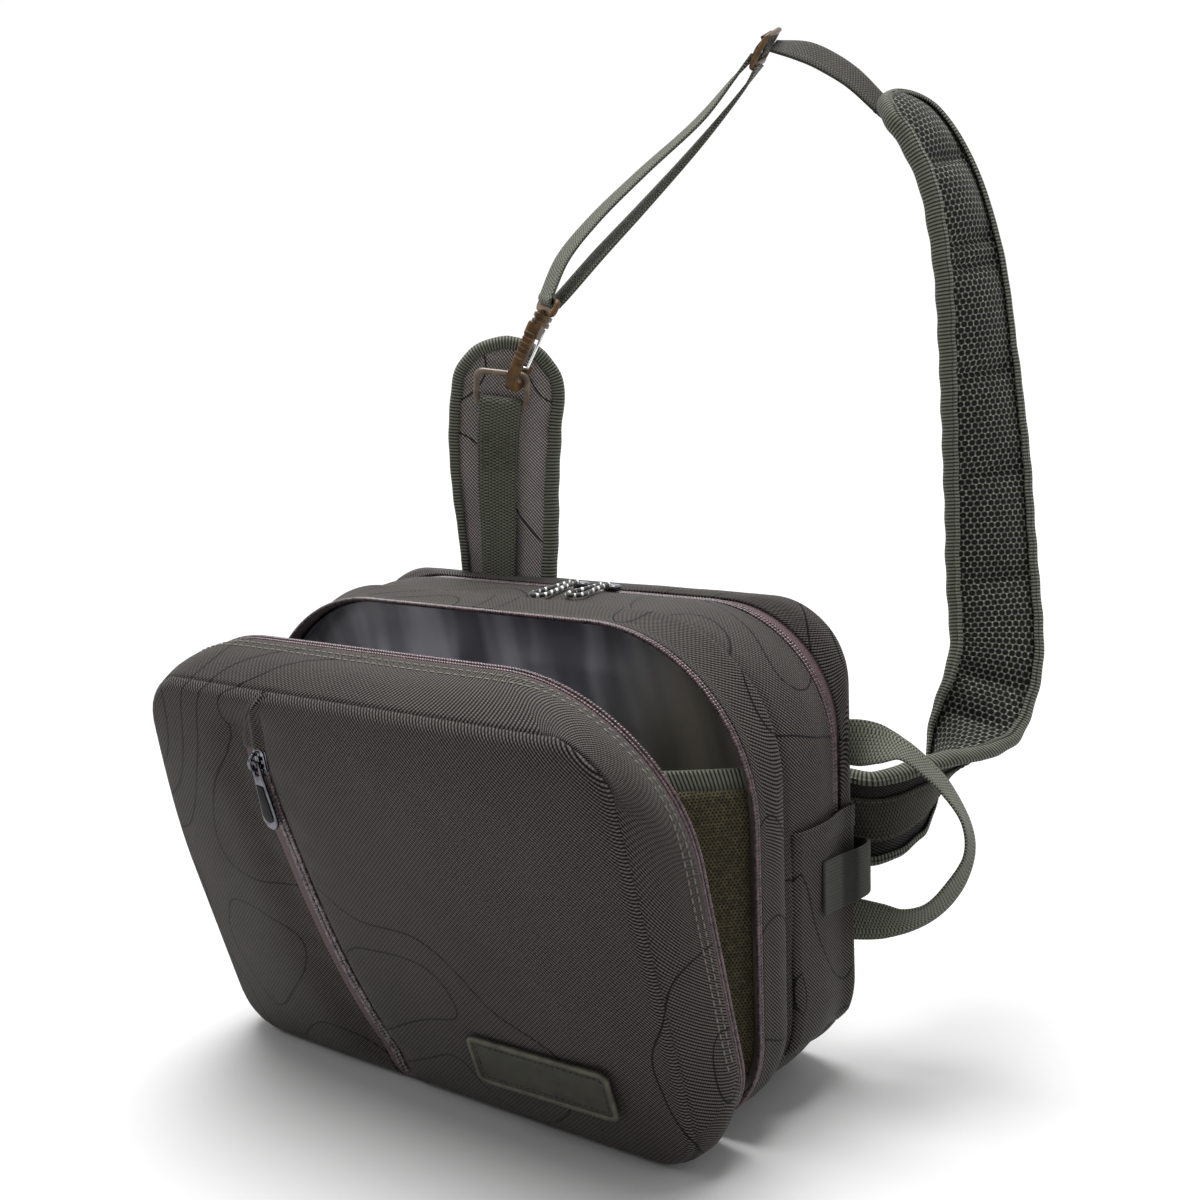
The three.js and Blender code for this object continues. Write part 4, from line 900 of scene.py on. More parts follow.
def add_glow():
    """Surroundings that are bright behind the bag, as the camera sees it, and dimmer in front."""
    azimuth = math.radians(CAMERA["azimuth"])
    world = bpy.data.worlds.new("studio")
    world.use_nodes = True
    nodes, links = world.node_tree.nodes, world.node_tree.links
    nodes["Background"].inputs["Color"].default_value = (1.0, 1.0, 1.0, 1.0)
    facing = nodes.new("ShaderNodeVectorMath")
    facing.operation = "DOT_PRODUCT"
    facing.inputs[1].default_value = (-math.sin(azimuth), math.cos(azimuth), GLOW["rise"])
    links.new(nodes.new("ShaderNodeTexCoord").outputs["Generated"], facing.inputs[0])
    backdrop = nodes.new("ShaderNodeMapRange")
    backdrop.interpolation_type = "SMOOTHSTEP"
    for socket, key in zip(list(backdrop.inputs)[1:5], ("from", "to", "front", "behind")):
        socket.default_value = GLOW[key]
    links.new(facing.outputs["Value"], backdrop.inputs[0])
    links.new(backdrop.outputs[0], nodes["Background"].inputs["Strength"])
    bpy.context.scene.world = world
    bpy.context.scene.view_settings.view_transform = "Standard"


def add_lamp(name, kind, power, toward):
    """A lamp that shines in a direction."""
    lamp = bpy.data.lights.new(name, kind)
    lamp.energy = power
    light = bpy.data.objects.new(name, lamp)
    light.rotation_euler = toward.to_track_quat("-Z", "Y").to_euler()
    bpy.context.scene.collection.objects.link(light)
    return light


def add_lamps():
    """The two soft lamps, aimed at the bag, and the overhead sun."""
    aim = Vector(place(LAMP_AIM))
    for row in LAMPS:
        at = Vector(place(row["at"]))
        light = add_lamp(row["name"], "AREA", row["power"], aim - at)
        light.location = at
        light.data.size = row["size"] / 1000
    sun = add_lamp("overhead_light", "SUN", SUN["power"], Vector(SUN["toward"]))
    sun.data.angle = math.radians(SUN["spread"])


# Outlines of the body and the lid

OUTLINE_STEPS = {"side": 16, "top_corner": 24, "top": 28, "bottom_corner": 16, "bottom": 24}


def outline(half, height, top, bottom=BOTTOM_RADIUS, side_mark=None):
    """A rounded outline, counter-clockwise from the right side's foot: rows of x, up and the outward x, up.

    side_mark is a height at which both sides have a point."""
    points = []

    def line(x0, up0, x1, up1, steps):
        points.extend((mix(x0, x1, k / steps), mix(up0, up1, k / steps)) for k in range(steps))

    def corner(x, up, radius, start, steps):
        angles = [start + math.pi / 2 * k / steps for k in range(steps)]
        points.extend((x + radius * math.cos(a), up + radius * math.sin(a)) for a in angles)

    steps = OUTLINE_STEPS
    mark = height * 0.5 if side_mark is None else side_mark
    line(half, bottom, half, mark, steps["side"] // 2)
    line(half, mark, half, height - top, steps["side"] // 2)
    corner(half - top, height - top, top, 0, steps["top_corner"])
    line(half - top, height, top - half, height, steps["top"])
    corner(top - half, height - top, top, math.pi / 2, steps["top_corner"])
    line(-half, height - top, -half, mark, steps["side"] // 2)
    line(-half, mark, -half, bottom, steps["side"] // 2)
    corner(bottom - half, bottom, bottom, math.pi, steps["bottom_corner"])
    line(bottom - half, 0, half - bottom, 0, steps["bottom"])
    corner(half - bottom, bottom, bottom, -math.pi / 2, steps["bottom_corner"])
    points = np.array(points)
    run = np.roll(points, -1, axis=0) - np.roll(points, 1, axis=0)
    out = unit(np.stack([run[:, 1], -run[:, 0]], axis=1))
    return np.concatenate([points, out], axis=1)


def half_at(plan, up):
    """Half the width of an outline at a height."""
    bottom = plan.get("bottom", BOTTOM_RADIUS)
    up = np.asarray(up, float)
    low = np.clip(bottom - up, 0, bottom)
    high = np.clip(up - (plan["height"] - plan["top"]), 0, plan["top"])
    foot = plan["half"] - bottom + np.sqrt(bottom**2 - low**2)
    return foot - plan["top"] + np.sqrt(plan["top"] ** 2 - high**2)


def monotone(xs, ys, wanted):
    """A smooth curve through points that never overshoots them."""
    xs, ys = np.asarray(xs, float), np.asarray(ys, float)
    slope = np.diff(ys) / np.diff(xs)
    before, after = slope[:-1], slope[1:]
    inner = np.where(before * after > 0, 2 * before * after / (before + after + 1e-12), 0)
    tangent = np.concatenate([[slope[0]], inner, [slope[-1]]])
    i = np.clip(np.searchsorted(xs, wanted) - 1, 0, len(slope) - 1)
    width = xs[i + 1] - xs[i]
    t = (wanted - xs[i]) / width
    return (ys[i] * (2 * t**3 - 3 * t**2 + 1) + tangent[i] * width * (t**3 - 2 * t**2 + t)
            + ys[i + 1] * (3 * t**2 - 2 * t**3) + tangent[i + 1] * width * (t**3 - t**2))


def section_at(y):
    """The body's cross section at a depth."""
    ys = [row["y"] for row in BODY_SECTIONS]
    return {key: float(monotone(ys, [row[key] for row in BODY_SECTIONS], y)) for key in SECTION_KEYS}


def section_ring(y, grow=0.0, **marks):
    """The body's outline at a depth, set out by grow, and its outward directions."""
    plan = section_at(y)
    ring = outline(plan["half"], plan["height"], plan["top"], **marks)
    out = np.stack([ring[:, 2], np.zeros(len(ring)), ring[:, 3]], axis=1)
    at = np.stack([ring[:, 0], np.full(len(ring), y), plan["foot"] + ring[:, 1]], axis=1)
    return at + out * grow, out


def body_wall(depths, wrinkle, seed, **marks):
    """Rings of the body at depths, with the cloth's soft unevenness, and their outward directions."""
    rings, outs = zip(*(section_ring(y, **marks) for y in depths))
    grid, out = np.array(rings), np.array(outs)
    uneven = wrinkle * soft_noise(grid, 55.0, seed) + 0.35 * wrinkle * soft_noise(grid, 19.0, seed + 1)
    return grid + out * uneven[..., None], out


def zip_frames(y, end, count=None):
    """Frames round the body's outline at a depth, from the right end of its zip to the left."""
    ring, out = section_ring(y)
    return cut_run(ring, out, np.array([0.0, 1.0, 0.0]), ring[:, 2], end, 3.0, count)


def cut_run(ring, out, depth, heights, end, step, count=None):
    """The part of a closed ring above a height, as evenly spaced frames."""
    above = heights >= end
    first = next(i for i in range(len(ring)) if above[i] and not above[i - 1])
    order = [(first + k) % len(ring) for k in range(len(ring))]
    order = [i for i in order if above[i]]
    points, outward = ring[order], out[order]
    run = lengths(points)
    stations = np.linspace(0, run[-1], count or int(run[-1] / step))
    at = read_off(stations, run, points)
    u = unit(read_off(stations, run, outward))
    return {"at": at, "u": u, "v": np.broadcast_to(depth, at.shape).copy()}


def moved(frames, along_u, along_v):
    """Frames set over along their own directions."""
    return {**frames, "at": frames["at"] + frames["u"] * along_u + frames["v"] * along_v}


def zip_half(name, frames):
    """One half of the main zip: tape, coil on its free edge, and the row of sewing beside the coil."""
    edge = ZIP_DEPTH + 1.2
    profile = [(-1.9, 1.2), (-0.6, 1.2), (-0.45, 4.0), (-0.4, edge), (-1.9, edge)]
    settle(sweep(name + "_tape", profile, frames, TAPE), [name])
    coil(name + "_coil", [moved(frames, -0.5, 1.1)], COIL, pitch=1.8, radius=(1.2, 1.1))
    coil(name + "_sewing", [moved(frames, -0.45, 3.5)], COIL, pitch=1.8, radius=(0.85, 0.9))


# The body

def build_front_compartment():
    """The wall round the front compartment, whose front edge is turned in, and the body's half of the zip."""
    depths = np.concatenate([[9.0, 9.02, 9.05], np.linspace(10, 26, 12), np.linspace(27, SEAM_Y + 0.3, 9)])
    grid, out = body_wall(depths, wrinkle=0.6, seed=3)
    by_hinge = np.array([[GAP], [GAP + 0.3], [4.0]])
    by_zip = np.array([[4.9], [5.2], [5.8]])
    grid[:3, :, 1] = mix(by_hinge, by_zip, smoothstep(grid[0, :, 2], 12, 24))
    grid[0] -= out[0] * 1.0
    grid[1] -= out[1] * 0.15
    wall = surface("front_wall", grid, FABRIC, closed=True, wall=CLOTH, flip=True)
    settle(wall, ["front_gusset"])
    front = BODY_SECTIONS[0]["y"]
    zip_half("main_zip_body", moved(zip_frames(front, ZIP_END_HEIGHT), 0.0, -front))


def build_lining():
    """The tray inside the front compartment: a side wall, and a back that hangs in soft folds."""
    inset = -(CLOTH + GAP + 1.2)
    rings = [section_ring(y, inset)[0] for y in (9.6, 13, 18, 23, 27)]
    plan = section_at(26.0)
    back = []
    for share in np.concatenate([[0.985, 0.965, 0.94, 0.91], np.linspace(0.87, 0.02, 44)]):
        half, height = (plan["half"] + inset) * share, (plan["height"] + 2 * inset) * share
        ring = outline(half, height, plan["top"] * share, BOTTOM_RADIUS * share)
        foot = -inset + (plan["height"] + 2 * inset - height) / 2
        depth = np.full(len(ring), LINING_BACK_Y - 2.5 * smoothstep(share, 0.9, 1.0))
        back.append(np.stack([ring[:, 0], depth, foot + ring[:, 1]], axis=1))
    centre = back[-1].mean(axis=0)
    back.append(np.tile(centre, (len(back[-1]), 1)))
    grid = np.concatenate([np.array(rings), np.array(back)])
    flat = len(rings) + 3
    x, z = grid[flat:, :, 0], grid[flat:, :, 2]
    drape = soft_noise(np.stack([x, z * 0.35, 0 * x], axis=2), 46.0, 5) * smoothstep(z, 90, 240) * 2.2
    fold = 2.6 * np.exp(-(((x - 20) * 0.72 + (z - 170) * 0.69) / 16.0) ** 2) * smoothstep(x, -20, 60)
    for row in LINING_FOLDS:
        crease = np.exp(-np.hypot((x - row["x"] + row["lean"] * (z - 230)) / row["wide"], 0.15))
        fold = fold + row["deep"] * crease * smoothstep(z, 120, 235)
    slack = soft_noise(grid[flat:], 70.0, 8) * 1.4
    rim_rows = 8
    fade = np.concatenate([np.linspace(0, 1, rim_rows), np.ones(len(grid) - flat - rim_rows)])[:, None]
    grid[flat:, :, 1] -= np.maximum(drape + fold + slack, -1.0) * fade
    uv = np.concatenate([grid, grid[:, :1]], axis=1)[..., [0, 2]]
    tray = surface("lining_tray", grid, LINING_CLOTH, closed=True, flip=True, uv=uv)
    merge_points(tray, closed=False)
    settle(tray, ["lining"])


def build_rear_wall():
    """The wall round the rear compartment, slotted for its zip."""
    low, high = REAR_ZIP["y"] - REAR_ZIP["mouth"], REAR_ZIP["y"] + REAR_ZIP["mouth"]
    depths = np.concatenate([np.linspace(SEAM_Y - 0.2, 39, 9), np.linspace(41, low - 2, 22), [low - 0.8, low],
                             [high, high + 0.8], np.linspace(high + 2, 105.2, 9)])
    grid, out = body_wall(depths, wrinkle=0.8, seed=6, side_mark=REAR_ZIP["end"])
    slot_row = int(np.searchsorted(depths, low))
    slot_top = grid[slot_row, :, 2] >= REAR_ZIP["end"] - 0.6
    for row in (slot_row - 1, slot_row + 2):
        grid[row] += out[row] * 0.2 * slot_top[:, None]
    keep = np.ones((len(depths) - 1, grid.shape[1]), bool)
    keep[slot_row] = ~(slot_top & np.roll(slot_top, -1))
    wall = surface("rear_wall", grid, FABRIC, closed=True, wall=CLOTH, keep=keep, flip=True)
    settle(wall, ["rear_gusset"])


def build_rear_zip():
    """The closed zip in that slot: a tape that sinks at both sides, and two rows of coil."""
    count = 260
    half = ((9, 2.6), (5.6, 2.5), (4, 1.3), (2.8, 0.9))
    strips, places = [], []
    for aside, sink in [(-aside, sink) for aside, sink in half] + [(0, 0.8)] + list(half[::-1]):
        strip = zip_frames(REAR_ZIP["y"] + aside, REAR_ZIP["end"] - 5, count=count)
        strips.append(strip["at"] - strip["u"] * sink)
        places.append(np.stack([np.full(count, aside), lengths(strip["at"])], axis=1))
    tape = surface("rear_zip_tape", strips, TAPE, uv=np.array(places, float), wall=0.8, flip=True)
    settle(tape, ["rear_zip"])
    frames = zip_frames(REAR_ZIP["y"], REAR_ZIP["end"])
    rows = [moved(frames, -0.5, side * 1.35) for side in (-1, 1)]
    coil("rear_zip_coil", rows, COIL, pitch=1.9, radius=(1.0, 1.3))


def build_back_panel():
    """The panel against the wearer, with a soft rounded edge."""
    low = [0, 1.2, 4, 9, 16, 26, 40, 55]
    high = [214, 224, 233, 241, 248, 253, 256, 257]
    ups = np.concatenate([low, np.linspace(70, 200, 12), high])
    columns = both_sides([1, 0.992, 0.975, 0.94], np.linspace(-0.88, 0.88, 21))
    reach = half_at(BACK_PANEL, ups)[:, None]
    x = reach * columns[None, :]
    edge = np.minimum(np.minimum(reach - np.abs(x), ups[:, None]), BACK_PANEL["height"] - ups[:, None])
    soft = 2.2 * (1 - rolled(edge))
    panel = np.stack([x, BACK_PANEL["y"] - soft + 0.7 * smoothstep(edge, 5, 70),
                      BACK_PANEL["foot"] + np.broadcast_to(ups[:, None], x.shape)], axis=2)
    settle(surface("back_padding", panel, FABRIC, wall=2.6, flip=True), ["back_panel"])


# The lid

def draw_scale(x, up):
    """The lid's front is drawn in towards its upper left corner."""
    return np.where(x < 0, 1 - LID_DRAW_IN * smoothstep(up, 120, 255), 1.0)


def lid_out(plan):
    """The direction straight out of the plane of a lid outline."""
    tilt = math.radians(plan["tilt"])
    return np.array([0.0, -math.cos(tilt), -math.sin(tilt)])


def lid_outward(plan, ring):
    """The outward directions of a lid outline, in its plane."""
    tilt = math.radians(plan["tilt"])
    return np.stack([ring[:, 2], -ring[:, 3] * math.sin(tilt), ring[:, 3] * math.cos(tilt)], axis=1)


def lid_point(plan, x, up, lift=0.0):
    """Places on the plane of a lid outline, or at lift out of it."""
    tilt = math.radians(plan["tilt"])
    x, up, lift = np.broadcast_arrays(np.asarray(x, float), np.asarray(up, float), np.asarray(lift, float))
    return np.stack([x, plan["y"] - up * math.sin(tilt) - lift * math.cos(tilt),
                     plan["z"] + up * math.cos(tilt) - lift * math.sin(tilt)], axis=-1)


def spline_points(rows, count):
    """A uniform Catmull-Rom curve through (x, up) rows, as the zip's line is drawn."""
    rows = np.asarray(rows, float)
    steps = np.linspace(0, len(rows) - 1, count)
    i = np.clip(steps.astype(int), 0, len(rows) - 2)
    t = (steps - i)[:, None]
    p0, p3 = rows[np.maximum(i - 1, 0)], rows[np.minimum(i + 2, len(rows) - 1)]
    p1, p2 = rows[i], rows[i + 1]
    m1, m2 = (p2 - p0) / 2, (p3 - p1) / 2
    return ((2 * p1 - 2 * p2 + m1 + m2) * t + (-3 * p1 + 3 * p2 - 2 * m1 - m2)) * t**2 + m1 * t + p1


ZIP_LINE = spline_points([(row["x"], row["up"]) for row in POCKET_ZIP_LINE], 200)[::-1]


def zip_line_x(up):
    """Where the pocket zip's middle is at a height up the lid's front."""
    return np.interp(up, ZIP_LINE[:, 1], ZIP_LINE[:, 0])


def edge_distance(x, up):
    """How far a point of the lid's front is from its seam."""
    radius = (LID_SEAM["top"] + LID_SEAM["bottom"]) / 2
    qx = np.abs(x) / draw_scale(x, up) - (LID_SEAM["half"] - radius)
    qy = np.abs(up - LID_SEAM["height"] / 2) - (LID_SEAM["height"] / 2 - radius)
    outside = np.hypot(np.maximum(qx, 0), np.maximum(qy, 0)) + np.minimum(np.maximum(qx, qy), 0)
    return np.maximum(radius - outside, 0)


def crown(x, up):
    """The swell of the lid's front."""
    across = np.abs(x) / LID_SEAM["half"]
    along = np.abs(2 * up / LID_SEAM["height"] - 1)
    return LID_BULGE["front"] * (1 - np.clip(across, 0, 1) ** 4) * (1 - np.clip(along, 0, 1) ** 6)


def face_lift(x, up):
    """How far the lid's face stands out of its seam's plane: a crown, with a valley along the pocket zip."""
    side = x - zip_line_x(up)
    reach = np.where(side < 0, 22.0, 13.0)
    fade = smoothstep(up, 4, 30) * (1 - smoothstep(up, 225, 245))
    return CLOTH + GAP + crown(x, up) - POCKET_ZIP["valley"] * fade * np.exp(-((side / reach) ** 2))


def end_fade(up):
    """1 along the pocket zip, and 0 at its ends."""
    return smoothstep(up, 3, 26) * (1 - smoothstep(up, 222, 243))


def panel_lift(x, up, side):
    """The height of the cloth beside the pocket zip, which lies in a soft valley."""
    away = np.abs(x - zip_line_x(up))
    left = POCKET_ZIP["shallow"] * np.exp(-((np.maximum(away - 6.5, 0) / 20.0) ** 2))
    right = (POCKET_ZIP["shallow"] - 0.4) * np.exp(-np.maximum(away - 6.0, 0) / 8.5)
    return CLOTH + GAP + crown(x, up) - end_fade(up) * (right if side > 0 else left)


def tape_lift(middle, up, across):
    """The height of the zip's tape, across from its middle; it slopes a little to the right."""
    floor = POCKET_ZIP["shallow"] + 0.7 + 0.06 * across
    return CLOTH + GAP + crown(middle, up) - 0.9 - end_fade(up) * (floor - 0.9)


def face_frame(x, up, lift):
    """Origin, right, rise and out of a place on the lid's face."""
    step = 8.0

    def at(x, up):
        return lid_point(LID_SEAM, x, up, face_lift(np.asarray(x), np.asarray(up)))

    right = unit(at(x + step, up) - at(x - step, up))
    out = unit(np.cross(right, at(x, up + step) - at(x, up - step)))
    return at(x, up) + out * lift, right, np.cross(out, right), out


def build_lid_gusset():
    """The lid's wall from its front seam to its zipped edge, its half of the zip and two rows of stitches."""
    seam = outline(LID_SEAM["half"], LID_SEAM["height"], LID_SEAM["top"], LID_SEAM["bottom"])
    edge = outline(LID_EDGE["half"], LID_EDGE["height"], LID_EDGE["top"], LID_EDGE["bottom"])
    front = lid_point(LID_SEAM, seam[:, 0] * draw_scale(seam[:, 0], seam[:, 1]), seam[:, 1])
    hinge = smoothstep(edge[:, 1], 10, 24)
    back = lid_point(LID_EDGE, edge[:, 0], edge[:, 1], mix(GAP, 4.9, hinge))
    out = lid_outward(LID_SEAM, seam)
    fine = [0, 0.012, 0.025, 0.04, 0.055, 0.07]
    shares = np.concatenate([fine, np.linspace(0.1, 0.94, 20), [0.975, 0.99, 1.0]])
    rows = []
    for share in shares:
        swell = hinge * LID_BULGE["gusset"] * math.sin(math.pi * share)
        tuck = -2.6 * (1 - smoothstep(share, 0.0, 0.07)) - 0.9 * float(smoothstep(share, 0.985, 1.0))
        rows.append(mix(front, back, share) + out * (swell + tuck)[:, None])
    grid = np.array(rows)
    uneven = 0.9 * soft_noise(grid, 48.0, 11) + 0.3 * soft_noise(grid, 16.0, 12)
    calm = np.sin(math.pi * shares) ** 0.7
    grid += out[None] * (uneven * calm[:, None] * hinge[None])[..., None]
    wall = surface("lid_wall", grid, FABRIC, closed=True, wall=CLOTH, flip=True)
    settle(wall, ["lid_gusset"])

    ring = lid_point(LID_EDGE, edge[:, 0], edge[:, 1])
    depth = lid_out(LID_EDGE)
    frames = cut_run(ring, lid_outward(LID_EDGE, edge), depth, edge[:, 1], ZIP_END_HEIGHT, 3.0)
    zip_half("main_zip_lid", frames)

    runs = []
    for share in (0.87, 0.73):
        row = int(np.argmin(np.abs(shares - share)))
        run = cut_run(grid[row], out, depth, seam[:, 1], 30.0, 2.0)
        runs.append((run["at"], run["u"]))
    stitches("lid_topstitching", runs, TOP_THREAD, length=3.4, gap=1.5, radius=0.5, rise=0.22)


def opening_at(up):
    """Half the width of the pocket zip's opening, which closes towards the lid's top."""
    return POCKET_ZIP["half"] * (1 - 0.9 * smoothstep(up, POCKET_ZIP["top"], LID_SEAM["height"])) + GAP


def build_lid_panel(word, side, lip, turn_reach, turn_depth):
    """One of the lid's two front panels, from its lip at the pocket zip out to the lid's seam."""
    low = np.array([0.3, 0.9, 1.8, 3.0, 4.6, 6.6, 9, 12, 16, 21, 27])
    ups = np.concatenate([low, np.linspace(33, 214, 62), LID_SEAM["height"] - low[::-1]])
    fine = np.array([0.0, 0.006, 0.014, 0.024, 0.038, 0.056, 0.08])
    shares = np.concatenate([fine, np.linspace(0.11, 0.9, 46), 1 - fine[::-1]])
    inner = zip_line_x(ups) + side * (opening_at(ups) * (lip / POCKET_ZIP["half"]))
    outer = side * (half_at(LID_SEAM, ups) - 0.2)
    outer = outer * draw_scale(outer, ups)
    x = mix(inner[:, None], outer[:, None], shares[None, :])
    up = np.broadcast_to(ups[:, None], x.shape)
    edge = edge_distance(x, up)
    roll = rolled(edge)
    lift = panel_lift(x, up, side) * roll - (CLOTH + GAP + 1.4) * (1 - roll)
    near = np.abs(x - inner[:, None])
    turned = np.clip(1 - near / turn_reach, 0, 1) ** 2
    fade = end_fade(up)
    lift = lift - turn_depth * turned * fade
    grid = lid_point(LID_SEAM, x, up, lift)
    uneven = 0.9 * soft_noise(grid, 60.0, 21) + 0.35 * soft_noise(grid, 22.0, 22)
    calm = smoothstep(edge, 1, 14) * smoothstep(near, 2, 12)
    pucker = 0.5 * np.sin(up / 4.1 + 2 * soft_noise(grid, 30.0, 23)) * np.exp(-((near / 16.0) ** 2)) * fade
    pucker = pucker * smoothstep(near, 1.5, 7)
    grid += (uneven * calm + pucker)[..., None] * lid_out(LID_SEAM)
    uv = np.stack([x, up], axis=2)
    piece = surface("lid_panel_" + word, grid, FABRIC, wall=CLOTH, flip=side < 0, uv=uv)
    settle(piece, ["lid_front_" + word])


def pocket_frames(low, high, across, lift):
    """Frames along the pocket zip from low to high, set over by across and out by lift."""
    ups = np.linspace(low, high, int((high - low) / 1.5))
    middle = zip_line_x(ups)
    at = lid_point(LID_SEAM, middle + across, ups, tape_lift(middle, ups, across) + lift)
    tangent = unit(np.gradient(at, axis=0))
    u = unit(np.cross(lid_out(LID_SEAM), tangent)) * -1
    return {"at": at, "u": u, "v": unit(np.cross(u, tangent)) * -1}


def build_pocket_zip():
    """The diagonal pocket zip: its tape between the two panels, and its coil."""
    ups = np.linspace(0.6, 240.0, 90)
    middle = zip_line_x(ups)
    reach = opening_at(ups) + 2.6
    columns = np.linspace(-1, 1, 13)
    x = middle[:, None] + reach[:, None] * columns[None, :]
    height = tape_lift(middle[:, None], ups[:, None], x - middle[:, None])
    grid = lid_point(LID_SEAM, x, np.broadcast_to(ups[:, None], x.shape), height)
    settle(surface("pocket_zip_tape", grid, TAPE, wall=1.2), ["pocket_zip"])
    rows = [pocket_frames(8, POCKET_ZIP["top"] + 3, across, 0.6) for across in (-0.4, 2.9)]
    coil("pocket_zip_coil", rows, COIL_DARK, pitch=2.0, radius=(1.6, 1.25))


def build_zip_dart():
    """The gathered cloth above the pocket zip, where the panels meet."""
    ups = np.linspace(POCKET_ZIP["top"] - 4, LID_SEAM["height"] - 0.3, 26)
    spread = np.linspace(-1, 1, 27)
    width = mix(9.8, 4.0, smoothstep(ups, ups[0], ups[-1]))
    middle = zip_line_x(ups)[:, None]
    x = middle + width[:, None] * spread[None, :]
    up = np.broadcast_to(ups[:, None], x.shape)
    gather = 1.0 * np.sin(spread * 6.0 + 0.6) * (1 - np.abs(spread)) + 1.6 * (1 - spread**2)
    roll = smoothstep(LID_SEAM["height"] - up, 0, 6)
    lift = tape_lift(middle, up, 0) + 0.7 + gather[None, :] * mix(0.35, 1.0, roll) - 1.6 * (1 - roll)
    uv = np.stack([x, up], axis=2)
    settle(surface("zip_dart", lid_point(LID_SEAM, x, up, lift), FABRIC, wall=0.8, uv=uv))


def build_slider():
    """The pocket zip's slider: two plates on a neck, and the arch that holds its pull; then the pull."""
    up = SLIDER["up"]
    seat, right, rise, out = face_frame(float(zip_line_x(up)), up, -POCKET_ZIP["sink"] + GAP)
    origin = seat + out * 2.0 + right * 1.6
    top = SLIDER["height"]

    def slider_plate(name, loop, thick, bevel, lift, nodes=()):
        plate(name, [loop], thick, bevel, (origin + out * lift, right, rise, out), CHROME, nodes)

    shape = [(-3.4, -6), (3.4, -6), (SLIDER["half"], 4.5), (2.4, 7.2), (-2.4, 7.2), (-SLIDER["half"], 4.5)]
    slider_plate("slider_top", shape, 1.8, 0.7, top - 2.8, ["pocket_slider"])
    slider_plate("slider_foot", shape, 1.6, 0.6, 1.4)
    slider_plate("slider_neck", [(x, y + 4.0) for x, y in rounded_loop(4.0, 3.0, 1.2)], 3.6, 0.5, 2.6)
    size = SLIDER["arch"]
    angles = np.linspace(-0.25, math.pi + 0.25, 19)
    arch = [origin + rise * (size * math.cos(a)) + out * (top - 0.2 + size * math.sin(a)) for a in angles]
    settle(wire("slider_arch", arch, 1.05, CHROME))

    hang = seat + out * (top + 1.8 + PULL["thick"] / 2) + right * 1.2
    tip = PULL["length"] - PULL["half"]
    turn = np.linspace(math.pi, 2 * math.pi, 17)
    teardrop = [(3.5, 1.0), (-3.5, 1.0), (-3.9, -PULL["window"] - 2)]
    teardrop += [(PULL["half"] * math.cos(a), -tip + PULL["half"] * math.sin(a)) for a in turn]
    teardrop += [(3.9, -PULL["window"] - 2)]
    window = [(x, y - 4.4) for x, y in rounded_loop(4.2, 6.4, 1.2, 4)]
    basis = (hang, right, rise, out)
    plate("zip_pull_plate", [teardrop, window[::-1]], PULL["thick"], 0.7, basis, DARK_CHROME,
          ["pocket_pull"], body="zip_pull")
    field = [(x * 0.72, mix(-24.0, y, 0.72)) for x, y in teardrop if y < -PULL["window"]]
    basis = (hang + out * 1.05, right, rise, out)
    plate("zip_pull_field", [field], 0.7, 0.25, basis, BLACK_ENAMEL, body="zip_pull")


def build_badge():
    """The plain rubber patch: a field inside a raised rim, sewn on along the rim."""
    basis = face_frame(BADGE["x"], BADGE["up"], 1.6 + BADGE["thick"] / 2)
    lower = (basis[0] - basis[3] * 0.45, *basis[1:])
    width, height, radius = BADGE["width"], BADGE["height"], BADGE["radius"]
    outer = rounded_loop(width, height, radius)
    inner = rounded_loop(width - 5.2, height - 5.2, radius - 2)
    plate("badge_field", [outer], 1.5, 0.4, lower, RUBBER, ["badge"])
    plate("badge_rim", [outer, inner[::-1]], BADGE["thick"], 0.9, basis, RUBBER_RIM)
    loop = rounded_loop(width - 9.5, height - 9.5, radius - 3)
    loop = np.array(loop + loop[:1])
    path = basis[0] + basis[1] * loop[:, :1] + basis[2] * loop[:, 1:] + basis[3] * 0.32
    runs = [(path, np.broadcast_to(basis[3], path.shape))]
    stitches("badge_stitching", runs, DARK_THREAD, length=2.4, gap=1.2, radius=0.3)


# Bellows and side pocket

def bellows_grid(hand, heights, out=0.0):
    """The folded sheet between the body's edge and the lid's edge, with a soft ridge."""
    z = np.asarray(heights, float)
    body = np.stack([half_at(BODY_SECTIONS[0], z) - BELLOWS["inset"], np.full(len(z), 6.0), z], axis=1)
    up = z / math.cos(math.radians(LID_EDGE["tilt"]))
    lid = lid_point(LID_EDGE, half_at(LID_EDGE, up) - BELLOWS["inset"], up)
    lid[:, 1] -= 4.0
    ridge = BELLOWS["ridge"]
    fold = mix(body, lid, ridge)
    fold[:, 0] -= BELLOWS["fold"] * z / BELLOWS["top"]
    t = np.concatenate([np.linspace(0, 0.36, 14), np.linspace(0.37, 0.43, 7), np.linspace(0.44, 1, 18)])
    before = np.clip(t / ridge, 0, 1)[None, :, None]
    after = np.clip((t - ridge) / (1 - ridge), 0, 1)[None, :, None]
    inner, outer = mix(body[:, None], fold[:, None], before), mix(fold[:, None], lid[:, None], after)
    line = np.where(t[None, :, None] < ridge, inner, outer)
    belly = np.sin(math.pi * before[..., 0]) * 1.6 - np.sin(math.pi * after[..., 0]) * 2.2
    line[..., 0] += belly * (z / BELLOWS["top"])[:, None] + out
    line[..., 0] += 0.8 * soft_noise(line, 30.0, 31) * np.sin(math.pi * t)[None, :]
    line[..., 0] *= hand
    return line


